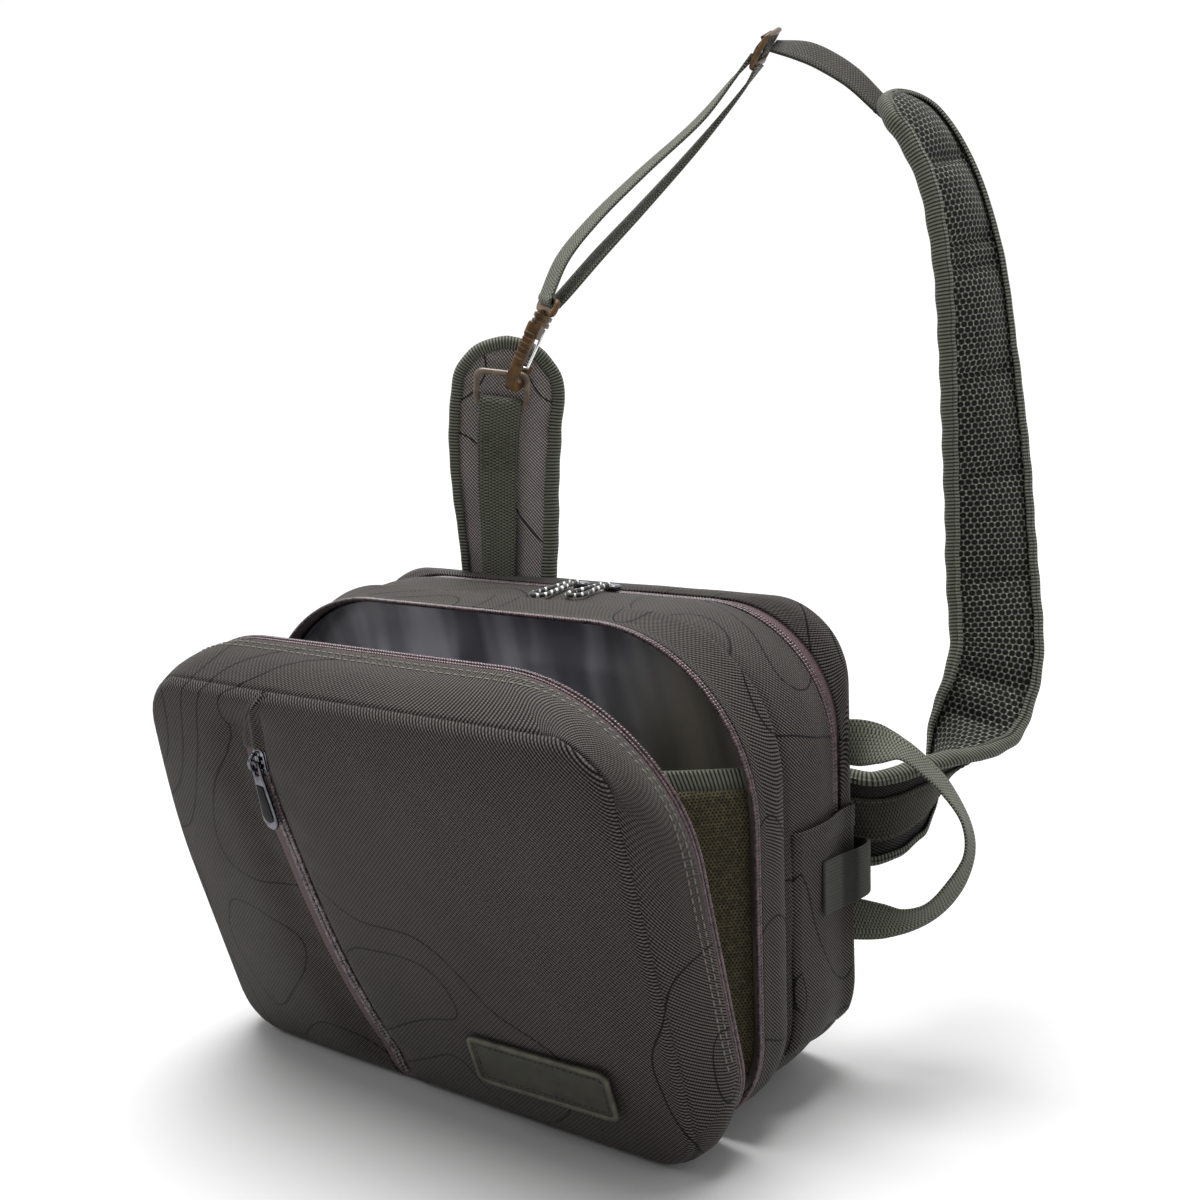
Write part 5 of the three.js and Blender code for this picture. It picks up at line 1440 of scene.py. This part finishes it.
def build_bellows(word, hand):
    """A folded mesh gusset between body and lid, and the webbing round its top edge."""
    bound = BELLOWS["top"] - BELLOWS["bound"]
    sheet = bellows_grid(hand, np.linspace(BELLOWS["low"], bound + 4, 36))
    mesh = surface("bellows_sheet_" + word, sheet, BELLOWS_MESH, wall=1.0, flip=hand < 0)
    settle(mesh, ["bellows_" + word])
    heights = np.linspace(bound, BELLOWS["top"], 8)
    wrapped = np.concatenate([bellows_grid(hand, heights, -1.5), bellows_grid(hand, heights[::-1], 0.9)])
    wrapped = np.swapaxes(wrapped, 0, 1)
    tape = surface("bellows_edge_" + word, wrapped, BINDING_CLOTH, closed=True, flip=hand > 0)
    settle(tape, ["bellows_binding_" + word])


def pocket_skin(depths, heights, stand):
    """A grid over the body's right side, standing off it."""
    rows = []
    for y in depths:
        plan = section_at(y)
        x = half_at(plan, np.asarray(heights) - plan["foot"]) + stand
        rows.append(np.stack([x, np.full(len(heights), y), heights], axis=1))
    return np.array(rows)


def build_side_pocket():
    """The slip pocket on the right side, tucked in round its sewn edges, with a stitched hem."""
    low, top = SIDE_POCKET["low"], SIDE_POCKET["top"]
    depths = np.linspace(SIDE_POCKET["front"] - 2, SIDE_POCKET["back"], 34)
    hem_heights = np.concatenate([[top - 12.4, top - 12], np.linspace(top - 9, top - 0.8, 6), [top]])
    heights = np.concatenate([np.linspace(low - 2, top - 13, 34), hem_heights])
    grid = pocket_skin(depths, heights, SIDE_POCKET["stand"])
    across = (depths - depths[0]) / (depths[-1] - depths[0])
    hem = 0.7 * (heights > top - 12.2) - 0.6 * (heights > top - 0.5)
    gape = 1.6 * smoothstep(heights, 90, top)[None, :] * np.sin(math.pi * across)[:, None]
    tuck = 2.4 * (np.maximum(1 - across / 0.06, 0) + np.maximum((across - 0.95) / 0.05, 0))[:, None]
    tuck = tuck + 2.4 * np.maximum(1 - (heights - heights[0]) / 6.0, 0)[None, :]
    grid[..., 0] += hem[None, :] + gape - tuck + 0.5 * soft_noise(grid, 40.0, 41)
    settle(surface("side_pocket_skin", grid, FABRIC, wall=1.3, flip=True), ["side_pocket"])
    rows = [np.argmin(np.abs(heights - (top - drop))) for drop in (10.6, 3.2)]
    out = np.tile([1.0, 0.0, 0.0], (len(depths) - 3, 1))
    runs = [(grid[2:-1, row], out) for row in rows]
    stitches("side_pocket_stitching", runs, DARK_THREAD, length=2.6, gap=1.3, radius=0.28)


# Webbing, pad and tab

def band(name, frames, material, nodes=(), width=WEBBING["width"], thick=WEBBING["thick"]):
    """Webbing along frames."""
    settle(sweep(name, band_profile(width, thick), frames, material), nodes)


def even_frames(rows, steps=8):
    """Frames at a band's rows, with steps from each row to the next."""
    return frames_at(rows, np.linspace(0, 1, (len(rows) - 1) * steps + 1))


def build_side_loop():
    """The elastic loop on the right side, sewn down at its front end."""
    width = SIDE_LOOP["high"] - SIDE_LOOP["low"]
    middle = (SIDE_LOOP["low"] + SIDE_LOOP["high"]) / 2
    rows = [(x, y, middle, 0, 0, 1) for x, y in SIDE_LOOP_PATH]
    band("side_loop_elastic", even_frames(rows), ELASTIC, ["side_loop"], width, SIDE_LOOP["thick"])
    half = width / 2 - 1.5
    across = np.linspace(-half, half, 24)
    runs = []
    for share in (0.03, 0.07):
        frames = frames_at(rows, np.array([share]))
        path = frames["at"] + frames["u"] * across[:, None] - frames["v"] * SIDE_LOOP["thick"] / 2
        runs.append((path, np.broadcast_to(-frames["v"], path.shape)))
    stitches("side_loop_tack", runs, DARK_THREAD, length=2.0, gap=0.7, radius=0.3)


class PaddedStrip:
    """A padded strip with a round tip, by stations along it."""

    def __init__(self, rows, size, steps):
        self.size = size
        _, self.length = shares_by_length(rows, [0])
        straight = 1 - size["tip"] / self.length
        angles = np.radians([6, 12, 18, 24, 30, 36, 43, 50, 57, 64, 71, 78, 84])
        tip = straight + size["tip"] / self.length * np.sin(angles)
        self.shares = np.concatenate([np.linspace(0, straight, steps), tip])
        self.angles = np.concatenate([np.zeros(steps), angles])
        self.frames = frames_at(rows, shares_by_length(rows, self.shares)[0])
        self.outer = size["thick"] / 2 + size["clear"] + size["wall"]

    def core(self, name, inner_face, outer_face, materials):
        """The padding between its two faces, given as heights over (station, place across from -1 to 1)."""
        columns = both_sides([1, 0.985, 0.95, 0.9], np.linspace(-0.82, 0.82, 25))
        half = (self.size["half"] - self.size["wall"] - 0.3) * np.cos(self.angles)
        across = half[:, None] * columns[None, :]
        thin = (0.25 + 0.75 * np.cos(self.angles))[:, None]
        below = -inner_face(self.shares[:, None], columns[None, :]) * thin
        above = outer_face(self.shares[:, None], columns[None, :]) * thin
        at, u, v = (self.frames[key][:, None] for key in ("at", "u", "v"))
        inner = at + u * across[..., None] + v * below[..., None]
        outer = at + u * across[..., None] + v * above[..., None]
        grid = np.concatenate([inner, outer[:, ::-1]], axis=1)
        along = (self.shares * self.length)[:, None]
        line = np.concatenate([across, across[:, ::-1], across[:, :1]], axis=1)
        uv = np.stack([line, np.broadcast_to(along, line.shape)], axis=2)
        slots = [0] * len(columns) + [1] * len(columns)
        return surface(name, grid, materials, closed=True, flip=True, caps=True, uv=uv, slots=slots)

    def binding(self, name, wave, seed):
        """The edge tape folded round both sides and the tip."""
        size = self.size
        reach, outer, wall = size["reach"], self.outer, size["wall"]
        turn = np.linspace(-math.pi / 2, math.pi / 2, 9)
        hollow = outer - wall
        nose = [(-outer * 0.7 + outer * 0.7 * math.cos(a), outer * math.sin(a)) for a in turn]
        inside = [(-outer * 0.7 + hollow * 0.6 * math.cos(a), hollow * math.sin(a)) for a in turn[::-1]]
        profile = np.array([(-reach, -outer + 0.25), (-reach * 0.75, -outer), (-reach * 0.55, -outer), *nose,
                            (-reach * 0.55, outer), (-reach * 0.75, outer), (-reach, outer - 0.25),
                            (-reach, hollow), (-reach * 0.6, hollow), *inside,
                            (-reach * 0.6, -hollow), (-reach, -hollow)])
        at, u, v = (self.frames[key] for key in ("at", "u", "v"))
        along = np.cross(u, v)
        parts = []
        for hand in (-1, 1):
            tipward = along * (np.sin(self.angles) / size["tip"])[:, None]
            out = unit(tipward + u * (hand * np.cos(self.angles) / size["half"])[:, None])
            edge = at + u * (hand * size["half"] * np.cos(self.angles))[:, None]
            parts.append({"at": edge, "u": out, "v": v})
        parts[1] = {key: value[::-1] for key, value in parts[1].items()}
        frames = join_frames(*parts)
        run = lengths(frames["at"])
        stations = np.linspace(0, run[-1], int(run[-1] / 2.2))
        smooth = {key: read_off(stations, run, rows) for key, rows in frames.items()}
        smooth["u"], smooth["v"] = unit(smooth["u"]), unit(smooth["v"])
        ripple = wave * (soft_noise(smooth["at"], 17.0, seed) + 0.5 * np.sin(stations / 3.3))
        smooth["at"] = smooth["at"] + smooth["u"] * ripple[:, None] + smooth["v"] * (0.5 * ripple)[:, None]
        return sweep(name, profile, smooth, BINDING_CLOTH)


def build_pad():
    """The shoulder pad with its sewn channels and edge tape, and the webbing that runs up it and beyond."""
    strip = PaddedStrip(PAD_PATH, PAD, steps=190)

    def puffed(shares, columns):
        """The inner face, sewn down along the channels."""
        gap = np.min([np.abs(shares - mark) for mark in PAD_CHANNELS], axis=0) * strip.length
        sewn = 0.55 * np.exp(-((gap / 9.0) ** 2)) + 0.45 * np.exp(-((gap / 2.6) ** 2))
        sewn = sewn * smoothstep(1 - np.abs(columns), 0.08, 0.3)
        swell = np.clip(1 - (columns / 0.84) ** 2, 0, 1)
        return 2.0 + 4.8 * swell - 5.6 * sewn * swell**0.6 + 0.4 * np.sin(columns * 5 + shares * 40) * sewn

    def flat(shares, columns):
        """The outer face."""
        return 2.0 + 1.0 * np.clip(1 - np.abs(columns) ** 4, 0, 1) + 0 * shares

    pad = strip.core("shoulder_pad", puffed, flat, [AIR_MESH, PLAIN_FABRIC])
    settle(pad, ["strap_pad"])
    settle(strip.binding("shoulder_pad_edge", wave=0.55, seed=61), ["pad_binding"])

    low = PAD["thick"] / 2 + GAP + WEBBING["thick"] / 2
    high = strip.outer + GAP + WEBBING["thick"] / 2
    count = int((strip.angles == 0).sum())
    lift = mix(low, high, smoothstep(np.arange(len(strip.shares)), count * 0.86, count - 2))
    on_pad = {**strip.frames, "at": strip.frames["at"] + strip.frames["v"] * lift[:, None]}
    on_pad = {key: value[3:] for key, value in on_pad.items()}
    beyond = frames_at(STRAP_PATH, np.linspace(0, 1, 40))
    run = join_frames(on_pad, beyond)
    seam = len(on_pad["at"])
    for values in run.values():
        for _ in range(30):
            near = values[seam - 14:seam + 14]
            values[seam - 13:seam + 13] = 0.25 * near[:-2] + 0.5 * near[1:-1] + 0.25 * near[2:]
    # The strap band takes the darker copy of the webbing: painted shade.
    band("strap_band", run, STRAP_CLOTH_PAINTED_SHADE, ["strap_webbing"])
    runs = []
    for side in (-1, 1):
        offset = side * (WEBBING["width"] / 2 - 2.0)
        path = on_pad["at"] + on_pad["u"] * offset + on_pad["v"] * (WEBBING["thick"] / 2)
        runs.append((path, on_pad["v"]))
    stitches("pad_webbing_stitching", runs, LIGHT_THREAD, length=2.6, gap=1.3, radius=0.28)


def build_tab():
    """The padded tab with its edge tape and the webbing sewn up it, round the ring's bar and down again.

    Gives the place of the ring's bar, and its across, along and front directions."""
    turns = [math.radians(row[3]) for row in TAB_PATH]
    rows = [(*row[:3], math.cos(turn), math.sin(turn), 0) for row, turn in zip(TAB_PATH, turns)]
    strip = PaddedStrip(rows, TAB, steps=60)

    def front(shares, columns):
        """The tab's front face."""
        return 2.6 + 1.0 * np.clip(1 - np.abs(columns) ** 4, 0, 1) + 0.3 * np.sin(shares * 23 + columns * 3)

    def back(shares, columns):
        """The tab's back face."""
        return 2.8 + 1.2 * np.clip(1 - np.abs(columns) ** 3, 0, 1) + 0 * shares

    tab = strip.core("tab_padding", front, back, [TAB_FABRIC, PLAIN_FABRIC])
    settle(tab, ["tab"])
    settle(strip.binding("tab_edge", wave=0.35, seed=71), ["tab_binding"])

    inner = TAB["thick"] / 2 + GAP + WEBBING["thick"] / 2
    outer = inner + WEBBING["thick"] + GAP
    radius = RING["wire"] / 2 + 1.2 + WEBBING["thick"] / 2
    bar = inner + radius
    top = frames_at(rows, shares_by_length(rows, [TAB_WEBBING["ring_share"]])[0])
    top = {key: value[0] for key, value in top.items()}
    along = np.cross(top["u"], top["v"])

    def lifted(frames, out):
        """Places on the tab's front, out from its middle."""
        out = np.asarray(out, float)[..., None]
        return frames["at"] - frames["v"] * out + frames["u"] * TAB_WEBBING["shift"]

    rise = frames_at(rows, np.linspace(0, 1, 90))
    under_bar = rise["at"][:, 2] < top["at"][2] - 1
    rise = {key: value[under_bar] for key, value in rise.items()}
    heights = rise["at"][:, 2]
    climb = mix(outer, bar + radius, smoothstep(heights, 330, top["at"][2]))
    front_run = {**rise, "at": lifted(rise, climb + 0.5 * soft_noise(rise["at"], 22.0, 73))}
    angles = np.linspace(0.06, 0.94, 13) * math.pi
    round_bar = [lifted(top, bar + radius * math.cos(a)) + along * radius * math.sin(a) for a in angles]
    turn = {
        "at": np.array(round_bar),
        "u": np.array([top["u"]] * len(angles)),
        "v": np.array([top["v"] * math.cos(a) - along * math.sin(a) for a in angles]),
    }
    behind = heights > TAB_WEBBING["patch_foot"]
    back_run = {**rise, "at": lifted(rise, np.full(len(heights), inner)), "v": -rise["v"]}
    back_run = {key: value[behind][::-1] for key, value in back_run.items()}
    band("tab_band", join_frames(front_run, turn, back_run), WEBBING_CLOTH, ["tab_webbing"])

    patch = behind & (heights < TAB_WEBBING["patch_top"])
    face = {key: value[patch] for key, value in front_run.items()}
    face["at"] = face["at"] - face["v"] * (WEBBING["thick"] / 2)
    reach = WEBBING["width"] / 2 - 3
    runs = []
    ends = [(0, -reach, 0, reach), (-1, -reach, -1, reach), (0, -reach, -1, reach), (0, reach, -1, -reach),
            (0, -reach, -1, -reach), (0, reach, -1, reach)]
    for i0, x0, i1, x1 in ends:
        a = face["at"][i0] + face["u"][i0] * x0
        b = face["at"][i1] + face["u"][i1] * x1
        path = np.array([mix(a, b, t) for t in np.linspace(0, 1, 12)])
        runs.append((path, np.broadcast_to(-face["v"][0], path.shape)))
    stitches("tab_box_stitch", runs, LIGHT_THREAD, length=2.2, gap=0.7, radius=0.4, rise=0.3)
    foot = lifted(top, np.array(bar))
    return foot, top["u"], along, -top["v"]


# Hardware

def build_ring(seat):
    """The ring in the tab's webbing. Gives the place where the hook hangs on it."""
    foot, across, along, front = seat
    lean = math.radians(RING["lean"])
    rise = along * math.cos(lean) + front * math.sin(lean)
    reach = RING["height"] - RING["wire"]
    outer = rounded_loop(RING["width"], RING["height"], 6.0)
    inner = rounded_loop(RING["width"] - 2 * RING["wire"], RING["height"] - 2 * RING["wire"], 3.0)
    basis = (foot + rise * reach / 2, across, rise, np.cross(across, rise))
    plate("tab_ring", [outer, inner[::-1]], RING["thick"], 1.5, basis, GREY_PLASTIC, ["d_ring"])
    return foot + rise * reach + across * HOOK_ALONG_RING


def build_hook(origin):
    """The snap hook: bend, ribs, neck, collar, eye and wire gate.

    Gives the eye's direction across, and the middle of its top bar."""
    axis = unit(HOOK_AXIS)
    side = unit(np.array(HOOK_SIDE) - axis * np.dot(HOOK_SIDE, axis))
    normal = np.cross(axis, side)
    inside, outside = HOOK["gape"], HOOK["gape"] + HOOK["spine"]
    top = HOOK["length"] - outside
    collar_foot = top - 0.5
    eye_foot = collar_foot + HOOK["collar"]

    def upright(name, loops, thick, bevel, x, z, nodes=(), across=side):
        """A plate that stands along the hook, at x to its side and z up it."""
        basis = (origin + side * x + axis * z, across, axis, -np.cross(axis, across))
        plate(name, loops, thick, bevel, basis, BROWN_PLASTIC, nodes)

    def disc(name, wide, deep, thick, z):
        """An oval plate across the hook, z up it."""
        angles = np.arange(32) * 2 * math.pi / 32
        loop = [(wide * math.cos(a), deep * math.sin(a)) for a in angles]
        basis = (origin + side * -0.5 + axis * z, side, normal, axis)
        plate(name, [loop], thick, 0.5, basis, BROWN_PLASTIC)

    turn = np.linspace(math.pi, 2 * math.pi, 25)
    shape = [(-outside, top)]
    shape += [(outside * math.cos(a), outside * math.sin(a)) for a in turn]
    shape += [(outside, HOOK["nose"]), (outside - 1.2, HOOK["nose"] + 1.6), (inside, HOOK["nose"] + 1.0)]
    shape += [(inside * math.cos(a), inside * math.sin(a)) for a in turn[::-1]]
    shape += [(-inside, top)]
    upright("hook_bend", [shape], HOOK["thick"], 1.5, 0.0, 0.0, ["hook_body"])
    for k in range(6):
        ridge = rounded_loop(1.5, 1.6, 0.6, 4)
        upright(f"hook_rib_{k}", [ridge], HOOK["thick"] - 0.6, 0.4, -outside - 0.1, 9.0 + 3.2 * k)
    upright("hook_neck", [rounded_loop(9.4, 9.0, 1.6, 5)], HOOK["thick"] + 1.4, 1.0, -4.9, collar_foot - 3.5)
    for k, (low, high, size) in enumerate(((0.0, 3.0, 0.98), (2.4, 4.8, 0.84), (4.2, 7.0, 1.0))):
        disc(f"hook_collar_{k}", 9.2 * size, 5.0 * size, high - low, collar_foot + (low + high) / 2)
    width, height, thick = HOOK_EYE["width"], HOOK_EYE["height"], HOOK_EYE["wire"]
    outer = rounded_loop(width, height, 4.6)
    inner = [(x, y + 0.9) for x, y in rounded_loop(width - 2 * thick, height - 2 * thick - 1.8, 1.1)]
    turned = math.radians(HOOK_EYE["turn"])
    eye_side = side * math.cos(turned) + normal * math.sin(turned)
    eye_middle = eye_foot + GAP + height / 2
    upright("hook_bow", [outer, inner[::-1]], thick, 1.6, -0.5, eye_middle, ["hook_eye"], eye_side)
    disc("hook_stem", 7.6, 4.0, 3.4, eye_foot + 0.9)

    gate_x, gate_top, gate_foot = inside - 1.4, collar_foot - 0.8, HOOK["nose"] - 1.0
    half = GATE["width"] / 2
    bend = 1.5
    corner = np.linspace(0, math.pi / 2, 6)
    left = [(-half + bend - bend * math.cos(a), gate_foot + bend - bend * math.sin(a)) for a in corner]
    run = [(-half, gate_top), (-half, mix(gate_top, gate_foot, 0.5)), *left]
    run += [(-y, z) for y, z in run[::-1]]
    points = [origin + side * gate_x + normal * y + axis * z for y, z in run]
    settle(wire("gate_wire", points, GATE["wire"] / 2, STEEL), ["hook_gate"], "gate")
    eye_top = eye_foot + GAP + height - thick / 2
    return eye_side, origin + axis * eye_top + side * -0.5


def build_strap_loop(side, eye_bar):
    """The webbing doubled through the hook's eye."""
    pull = np.array([0.54, 0.425, 0.725])
    pull = unit(pull - side * np.dot(pull, side))
    below = np.cross(side, pull)
    radius = HOOK_EYE["wire"] * math.sqrt(0.5) + GAP + WEBBING["thick"] / 2
    wrap = []
    for degrees in (170, 220, 270, 320, 370):
        angle = math.radians(degrees)
        wrap.append((*(eye_bar + below * radius * math.cos(angle) + pull * radius * math.sin(angle)), *side))
    band("strap_strands", even_frames(UPPER_STRAND + wrap + LOWER_STRAND), WEBBING_CLOTH, ["strap_loop"])


def build_adjuster():
    """The slide on the strap: a bent frame with two slots, and the webbing round its middle bar."""
    across = unit(ADJUSTER["across"])
    rise = np.array(ADJUSTER["rise"])
    rise = unit(rise - across * np.dot(rise, across))
    slot = (ADJUSTER["length"] - 3 * ADJUSTER["bar"]) / 2
    hole = rounded_loop(ADJUSTER["width"] - 2 * ADJUSTER["bar"] + 1.0, slot, 1.2, 4)
    middle = (slot + ADJUSTER["bar"]) / 2
    loops = [rounded_loop(ADJUSTER["width"], ADJUSTER["length"], 3.0)]
    loops += [[(x, y + shift) for x, y in hole][::-1] for shift in (-middle, middle)]
    basis = (np.array(ADJUSTER["at"]), across, rise, np.cross(across, rise))

    def bent(points):
        """The frame is bent about its middle bar."""
        points = points.copy()
        points[:, 2] += 0.22 * np.abs(points[:, 1]) - 1.0
        return points

    plate("adjuster_frame", loops, ADJUSTER["thick"], 1.2, basis, BROWN_PLASTIC,
          ["adjuster"], bend=bent)
    rows = []
    for up, lift in ((-7.4, -1.8), (-6.2, -0.6), (-3, 2.4), (0, 3.2), (3, 2.4), (6.2, -0.6), (7.4, -1.8)):
        rows.append((*(basis[0] + rise * up + basis[3] * (lift - 0.6)), *across))
    # The wrap takes the darker copy of the webbing: painted shade.
    band("adjuster_wrap", even_frames(rows, 4), STRAP_CLOTH_PAINTED_SHADE, thick=1.4)


def build_cord(name, points):
    """A round cord through points."""
    curve = bpy.data.curves.new(name, "CURVE")
    curve.dimensions = "3D"
    curve.bevel_depth = CORD["diameter"] / 2000
    curve.bevel_resolution = 3
    curve.use_fill_caps = True
    spline = curve.splines.new("POLY")
    spline.points.add(len(points) - 1)
    rows = np.concatenate([place(points), np.ones((len(points), 1))], axis=1)
    spline.points.foreach_set("co", rows.astype(np.float32).ravel())
    curve.materials.append(FLECKED_CORD)
    cord = bpy.data.objects.new(name, curve)
    bpy.context.scene.collection.objects.link(cord)
    return cord


def build_rear_pulls():
    """The rear zip's two sliders, each with a cord loop that leaves it and returns to it."""
    plan = section_at(REAR_ZIP["y"])
    top = plan["foot"] + plan["height"]
    for pull in REAR_PULLS:
        side, x, length = pull["side"], pull["x"], pull["length"]
        at = np.array([x, REAR_ZIP["y"], top + 0.6 + REAR_SLIDER["height"] / 2])
        shape = rounded_loop(REAR_SLIDER["length"], REAR_SLIDER["width"], 2.6)
        plate("rear_slider_body_" + side, [shape], REAR_SLIDER["height"], 1.1, (at, *np.eye(3)), CHROME,
              ["rear_slider_" + side])
        start = REAR_ZIP["y"] - REAR_SLIDER["width"] / 2 - CORD["diameter"] / 2 - GAP
        route = [(0, 1.9), (8, 2.4), (length - 12, 4.4), (length - 5, CORD["bend"])]
        route += [(length - 1.4, 3.6), (length, 0)]
        route += [(along, -aside) for along, aside in route[-2::-1]]
        lean = pull["lean"]
        rows = [(x + aside + lean * along / length, start - along, CORD["height"]) for along, aside in route]
        points = catmull(rows, np.linspace(0, 1, 61))
        cord = settle(build_cord("cord_loop_" + side, points), ["cord_pull_" + side])


add_camera()
add_floor()
add_glow()
add_lamps()
build_rear_pulls()
build_front_compartment()
build_lining()
build_rear_wall()
build_rear_zip()
build_back_panel()
build_lid_gusset()
build_lid_panel("left", -1, lip=6.8, turn_reach=2.0, turn_depth=0.8)
build_lid_panel("right", 1, lip=6.9, turn_reach=4.5, turn_depth=1.9)
build_pocket_zip()
build_zip_dart()
build_slider()
build_badge()
build_bellows("right", 1)
build_bellows("left", -1)
build_side_pocket()
build_side_loop()
band("handle_band", even_frames(HANDLE_PATH), WEBBING_CLOTH, ["carry_handle"])
build_pad()
tab_seat = build_tab()
hook_side, hook_eye_bar = build_hook(build_ring(tab_seat))
build_strap_loop(hook_side, hook_eye_bar)
build_adjuster()
